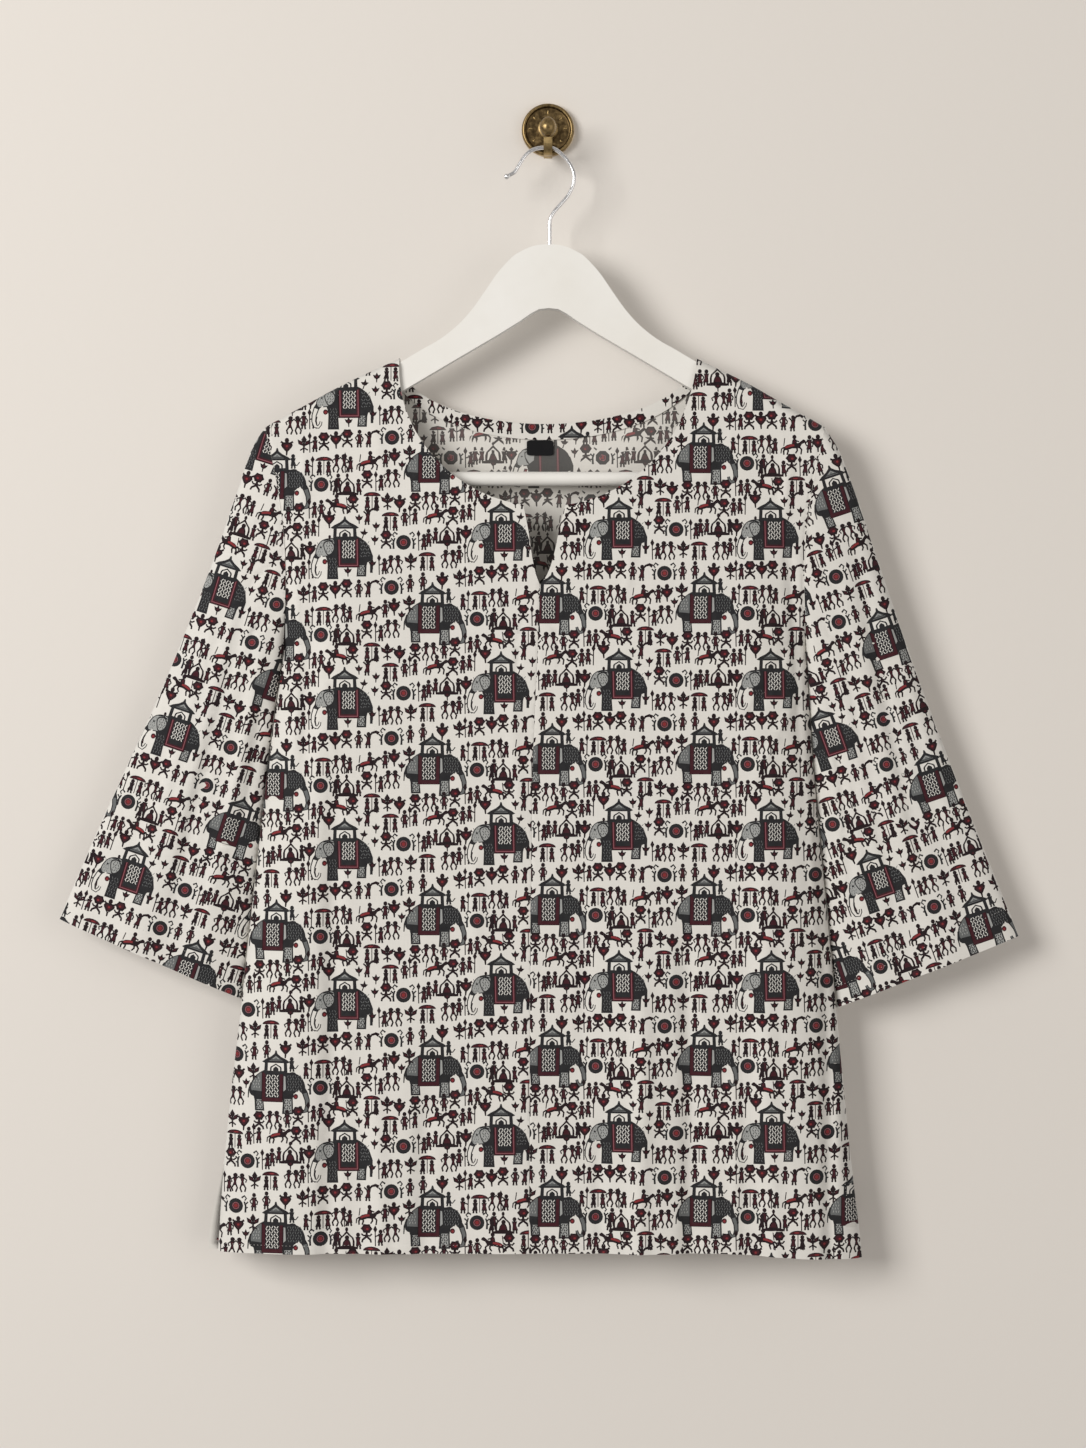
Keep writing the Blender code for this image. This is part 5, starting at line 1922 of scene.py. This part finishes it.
def make_wall_hook():
    profile = smooth_route([tuple(row) for row in ROSE_PROFILE[1:-2]], 4)
    profile = [tuple(ROSE_PROFILE[0])] + [tuple(row) for row in profile]
    profile += [tuple(row) for row in ROSE_PROFILE[-2:]]
    rose = turned("wall_rose_brass", profile, 96)
    rose.rotation_euler = (math.pi / 2, 0.0, 0.0)

    profile = []
    for angle in np.linspace(0.0, math.pi, 25):
        narrowing = 1.0 - 0.10 * max(0.0, math.cos(angle))
        profile.append((abs(KNOB_RADIUS * math.sin(angle) * narrowing), KNOB_HALF_HEIGHT * math.cos(angle)))
    profile[0] = (0.0, KNOB_HALF_HEIGHT)
    profile[-1] = (0.0, -KNOB_HALF_HEIGHT)
    knob = turned("hook_knob_brass", profile, 48)
    knob.location = Vector((0.0, KNOB_Y, KNOB_Z)) * MM

    route = smooth_route([tuple(bend) for bend in STRAP_BENDS], 5)
    ahead = np.gradient(route, axis=0)
    side = np.stack([-ahead[:, 1], ahead[:, 0]], axis=1)
    side *= STRAP_THICK / 2 / np.linalg.norm(side, axis=1)[:, None]
    loop = np.concatenate([route + side, (route - side)[::-1]])
    strap = flat_plate("hook_strap_brass", loop, STRAP_WIDTH / 2, STRAP_EDGE, 3)
    strap.rotation_euler = (math.pi / 2, 0.0, math.pi / 2)
    return rose, make_rose_marks(), knob, strap


def new_material(name, colour, roughness, metallic=0.0):
    material = bpy.data.materials.new(name)
    material.use_nodes = True
    shader = material.node_tree.nodes["Principled BSDF"]
    shader.inputs["Base Color"].default_value = (*colour, 1.0)
    shader.inputs["Roughness"].default_value = roughness
    shader.inputs["Metallic"].default_value = metallic
    return material


def add_noise(tree, scale, detail=3.0, stretch=(1.0, 1.0, 1.0)):
    """Noise in the piece's own coordinates; scale is about waves a metre."""
    place = tree.nodes.new("ShaderNodeTexCoord")
    mapping = tree.nodes.new("ShaderNodeMapping")
    mapping.inputs["Scale"].default_value = stretch
    noise = tree.nodes.new("ShaderNodeTexNoise")
    noise.inputs["Scale"].default_value = scale
    noise.inputs["Detail"].default_value = detail
    tree.links.new(place.outputs["Object"], mapping.inputs["Vector"])
    tree.links.new(mapping.outputs["Vector"], noise.inputs["Vector"])
    return noise.outputs["Fac"]


def add_threads(tree, direction, pitch):
    """Threads of the weave, side by side."""
    place = tree.nodes.new("ShaderNodeTexCoord")
    wave = tree.nodes.new("ShaderNodeTexWave")
    wave.bands_direction = direction
    wave.inputs["Scale"].default_value = 0.314 / (pitch * MM)
    wave.inputs["Distortion"].default_value = 1.6
    wave.inputs["Detail"].default_value = 1.0
    tree.links.new(place.outputs["Object"], wave.inputs["Vector"])
    return wave.outputs["Fac"]


def add_values(tree, first, second, operation="ADD"):
    node = tree.nodes.new("ShaderNodeMath")
    node.operation = operation
    for socket, value in zip(node.inputs, (first, second)):
        if isinstance(value, float):
            socket.default_value = value
        else:
            tree.links.new(value, socket)
    return node.outputs["Value"]


def spread(tree, factor, low, high):
    """A noise's usual range stretched to run from low to high."""
    node = tree.nodes.new("ShaderNodeMapRange")
    node.inputs["From Min"].default_value = 0.3
    node.inputs["From Max"].default_value = 0.7
    node.inputs["To Min"].default_value = low
    node.inputs["To Max"].default_value = high
    tree.links.new(factor, node.inputs["Value"])
    return node.outputs["Result"]


def add_bump(tree, height, distance, strength, under=None):
    node = tree.nodes.new("ShaderNodeBump")
    node.inputs["Distance"].default_value = distance * MM
    node.inputs["Strength"].default_value = strength
    tree.links.new(height, node.inputs["Height"])
    if under is not None:
        tree.links.new(under, node.inputs["Normal"])
    return node.outputs["Normal"]


def blend_colours(tree, factor, first, second):
    node = tree.nodes.new("ShaderNodeMix")
    node.data_type = "RGBA"
    for index, value in ((0, factor), (6, first), (7, second)):
        if isinstance(value, (float, tuple)):
            node.inputs[index].default_value = value
        else:
            tree.links.new(value, node.inputs[index])
    return node.outputs[2]


def make_cotton():
    """Printed cambric: inks soaked into a fine plain weave."""
    material = new_material("printed_cotton_look", INKS["ground"], 0.88)
    tree = material.node_tree
    shader = tree.nodes["Principled BSDF"]
    shader.inputs["Sheen Weight"].default_value = 0.04
    shader.inputs["Sheen Roughness"].default_value = 0.5
    shader.inputs["Specular IOR Level"].default_value = 0.12
    ink = tree.nodes.new("ShaderNodeAttribute")
    ink.attribute_type = "GEOMETRY"
    ink.attribute_name = "ink"
    bitten = add_noise(tree, 1500.0, 2.0)
    soaked = add_noise(tree, 220.0, 3.0)
    slubs = add_values(
        tree, add_noise(tree, 90.0, 3.0, (1.0, 1.0, 14.0)), add_noise(tree, 90.0, 3.0, (14.0, 1.0, 1.0)))
    value = spread(tree, add_values(tree, slubs, 0.5, "MULTIPLY"), 0.97, 1.03)
    tone = tree.nodes.new("ShaderNodeHueSaturation")
    tree.links.new(ink.outputs["Color"], tone.inputs["Color"])
    tree.links.new(value, tone.inputs["Value"])
    faded = spread(tree, add_values(tree, add_values(tree, bitten, soaked), 0.5, "MULTIPLY"), 0.0, 0.02)
    worn = blend_colours(tree, faded, tone.outputs["Color"], (*INKS["ground"], 1.0))
    tree.links.new(worn, shader.inputs["Base Color"])
    weave = add_values(tree, add_threads(tree, "X", THREAD_PITCH), add_threads(tree, "Z", THREAD_PITCH))
    fine = add_bump(tree, weave, 0.05, 0.5)
    crinkle = add_bump(tree, add_noise(tree, 70.0, 4.0), 0.9, 0.22, fine)
    tree.links.new(crinkle, shader.inputs["Normal"])
    tree.links.new(spread(tree, slubs, 0.84, 0.94), shader.inputs["Roughness"])
    return material


def make_tape():
    material = new_material("label_cloth_look", LABEL_COLOUR, 0.7)
    tree = material.node_tree
    tree.nodes["Principled BSDF"].inputs["Specular IOR Level"].default_value = 0.2
    ribs = add_bump(tree, add_threads(tree, "Z", 0.5), 0.12, 0.7)
    tree.links.new(ribs, tree.nodes["Principled BSDF"].inputs["Normal"])
    return material


def make_paint():
    """Satin white paint over smooth wood, a little yellowed and marked."""
    material = new_material("white_paint_look", WHITE_PAINT, 0.4)
    tree = material.node_tree
    shader = tree.nodes["Principled BSDF"]
    shader.inputs["Coat Weight"].default_value = 0.15
    shader.inputs["Coat Roughness"].default_value = 0.3
    aged = spread(tree, add_noise(tree, 14.0, 4.0), 0.0, 0.5)
    base = blend_colours(tree, aged, (*WHITE_PAINT, 1.0), (*AGED_PAINT, 1.0))
    tree.links.new(base, shader.inputs["Base Color"])
    tree.links.new(spread(tree, add_noise(tree, 120.0, 4.0), 0.33, 0.5), shader.inputs["Roughness"])
    brushed = add_bump(tree, add_noise(tree, 60.0, 3.0, (1.0, 8.0, 8.0)), 0.12, 0.35)
    tree.links.new(brushed, shader.inputs["Normal"])
    return material


def make_steel():
    material = new_material("bright_steel_look", STEEL, 0.2, 1.0)
    tree = material.node_tree
    shader = tree.nodes["Principled BSDF"]
    tree.links.new(spread(tree, add_noise(tree, 500.0, 4.0), 0.14, 0.32), shader.inputs["Roughness"])
    drawn = add_bump(tree, add_noise(tree, 900.0, 3.0), 0.03, 0.4)
    tree.links.new(drawn, shader.inputs["Normal"])
    return material


def make_brass():
    """Aged brass: brown in its hollows and rubbed bright on what stands up."""
    material = new_material("aged_brass_look", BRASS, 0.38, 1.0)
    tree = material.node_tree
    shader = tree.nodes["Principled BSDF"]
    shape = tree.nodes.new("ShaderNodeNewGeometry")
    mottle = add_noise(tree, 330.0, 5.0)
    standing = add_values(tree, shape.outputs["Pointiness"], add_values(tree, mottle, 0.06, "MULTIPLY"))
    rubbed = tree.nodes.new("ShaderNodeMapRange")
    rubbed.inputs["From Min"].default_value = 0.525
    rubbed.inputs["From Max"].default_value = 0.60
    tree.links.new(standing, rubbed.inputs["Value"])
    aged = blend_colours(tree, spread(tree, mottle, 0.0, 1.0), (*BRASS_DARK, 1.0), (*BRASS_BROWN, 1.0))
    base = blend_colours(tree, rubbed.outputs["Result"], aged, (*BRASS_RUBBED, 1.0))
    tree.links.new(base, shader.inputs["Base Color"])
    tree.links.new(spread(tree, mottle, 0.30, 0.5), shader.inputs["Roughness"])
    cast = add_bump(tree, add_noise(tree, 700.0, 4.0), 0.06, 0.5)
    tree.links.new(cast, shader.inputs["Normal"])
    return material


def make_wall_paint():
    """The room's wall, seen only from its front so that a view from behind stays open."""
    material = new_material("wall_paint", WALL_COLOUR, 0.9)
    tree = material.node_tree
    shader = tree.nodes["Principled BSDF"]
    plaster = add_bump(tree, add_noise(tree, 90.0, 4.0), 1.2, 0.12)
    tree.links.new(plaster, shader.inputs["Normal"])
    shape = tree.nodes.new("ShaderNodeNewGeometry")
    clear = tree.nodes.new("ShaderNodeBsdfTransparent")
    either = tree.nodes.new("ShaderNodeMixShader")
    tree.links.new(shape.outputs["Backfacing"], either.inputs[0])
    tree.links.new(shader.outputs["BSDF"], either.inputs[1])
    tree.links.new(clear.outputs["BSDF"], either.inputs[2])
    tree.links.new(either.outputs["Shader"], tree.nodes["Material Output"].inputs["Surface"])
    return material


def make_wall():
    """A plain wall just behind the rose; light from behind reaches the garment's back through it."""
    corners = [(x, 1.0, z) for x, z in ((-4000, -3600), (4000, -3600), (4000, 3000), (-4000, 3000))]
    wall = new_piece("room_wall", corners, [(0, 1, 2, 3)])
    wall.data.materials.append(make_wall_paint())
    wall.visible_diffuse = False
    wall.visible_shadow = False


# Lights in metres and watts; each looks at the middle of the garment
Light = namedtuple("Light", "name place size power colour")
LIGHTS = [
    Light("window", (-2.7, -3.1, 0.5), 1.9, 143.0, (1.0, 0.985, 0.96)),
    Light("behind", (1.8, 2.8, 0.6), 2.2, 70.0, (1.0, 0.985, 0.96)),
    Light("room", (2.4, -2.8, -0.6), 2.4, 22.0, (1.0, 0.96, 0.91)),
]
LIGHT_TARGET = (0.0, 0.0, -0.5)


def add_area_light(light):
    data = bpy.data.lights.new(light.name, "AREA")
    data.size = light.size
    data.energy = light.power
    data.color = light.colour
    lamp = bpy.data.objects.new(light.name, data)
    lamp.location = light.place
    lamp.rotation_euler = (Vector(LIGHT_TARGET) - Vector(light.place)).to_track_quat("-Z", "Y").to_euler()
    bpy.context.scene.collection.objects.link(lamp)


def light_room():
    for light in LIGHTS:
        add_area_light(light)
    world = bpy.data.worlds.new("room_light")
    bpy.context.scene.world = world
    world.use_nodes = True
    background = world.node_tree.nodes["Background"]
    background.inputs["Color"].default_value = (1.0, 0.965, 0.93, 1.0)
    background.inputs["Strength"].default_value = 0.36
    bpy.context.scene.view_settings.view_transform = "Standard"


def place_camera():
    data = bpy.data.cameras.new("photo_camera")
    data.sensor_fit = "AUTO"
    data.sensor_width = SENSOR
    data.lens = CAMERA_LENS
    camera = bpy.data.objects.new("photo_camera", data)
    camera.location = Vector(CAMERA_PLACE) * MM
    camera.rotation_euler = (math.pi / 2, 0.0, 0.0)
    bpy.context.scene.collection.objects.link(camera)
    bpy.context.scene.camera = camera


def show(piece, material, slot_name, *nodes):
    """Dresses a piece in a material and hands it to the frame."""
    piece.data.materials.clear()
    piece.data.materials.append(material)
    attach(piece, BODY)
    if nodes:
        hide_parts(*nodes)


# A record of what a cloth piece was cut to, in metres and square metres
Cut = namedtuple("Cut", "width length area")


cotton = make_cotton()
tape = make_tape()
paint = make_paint()
steel = make_steel()
brass = make_brass()

outlines = {"front_left": front_outline(-1.0), "front_right": front_outline(1.0), "back": back_outline()}
sleeves = {
    "sleeve_left": Sleeve(LEFT_SLEEVE, -1.0, LEFT_SLEEVE_CREASES, 2.0),
    "sleeve_right": Sleeve(RIGHT_SLEEVE, 1.0, RIGHT_SLEEVE_CREASES, 3.0),
}
runs = {
    "front_left": front_stitching(-1.0, outlines["front_left"]),
    "front_right": front_stitching(1.0, outlines["front_right"]),
    "back": back_stitching(outlines["back"]),
    "sleeve_left": sleeve_stitching(sleeves["sleeve_left"]),
    "sleeve_right": sleeve_stitching(sleeves["sleeve_right"]),
}
cloths = {name: make_panel(name, outlines[name], BACK if name == "back" else FRONT) for name in outlines}
cloths.update({name: make_sleeve(name, sleeves[name]) for name in sleeves})
for name, cloth in cloths.items():
    stitching = make_stitching(name + "_stitching", runs[name])
    show(cloth, cotton, "printed_cotton", name)
    show(stitching, cotton, "printed_cotton")

facing = make_facing()
show(facing, cotton, "printed_cotton", "neck_facing")
label = make_label()
show(label, tape, "label_cloth", "label")

hanger, bar = make_hanger()
show(hanger, paint, "white_paint", "hanger_body")
show(bar, paint, "white_paint", "trouser_bar")
show(make_hook_wire(), steel, "bright_steel", "hook_wire")
rose, marks, knob, strap = make_wall_hook()
show(rose, brass, "aged_brass", "wall_rose")
show(marks, brass, "aged_brass")
show(knob, brass, "aged_brass", "hook_knob")
show(strap, brass, "aged_brass", "hook_strap")

make_wall()
light_room()
place_camera()
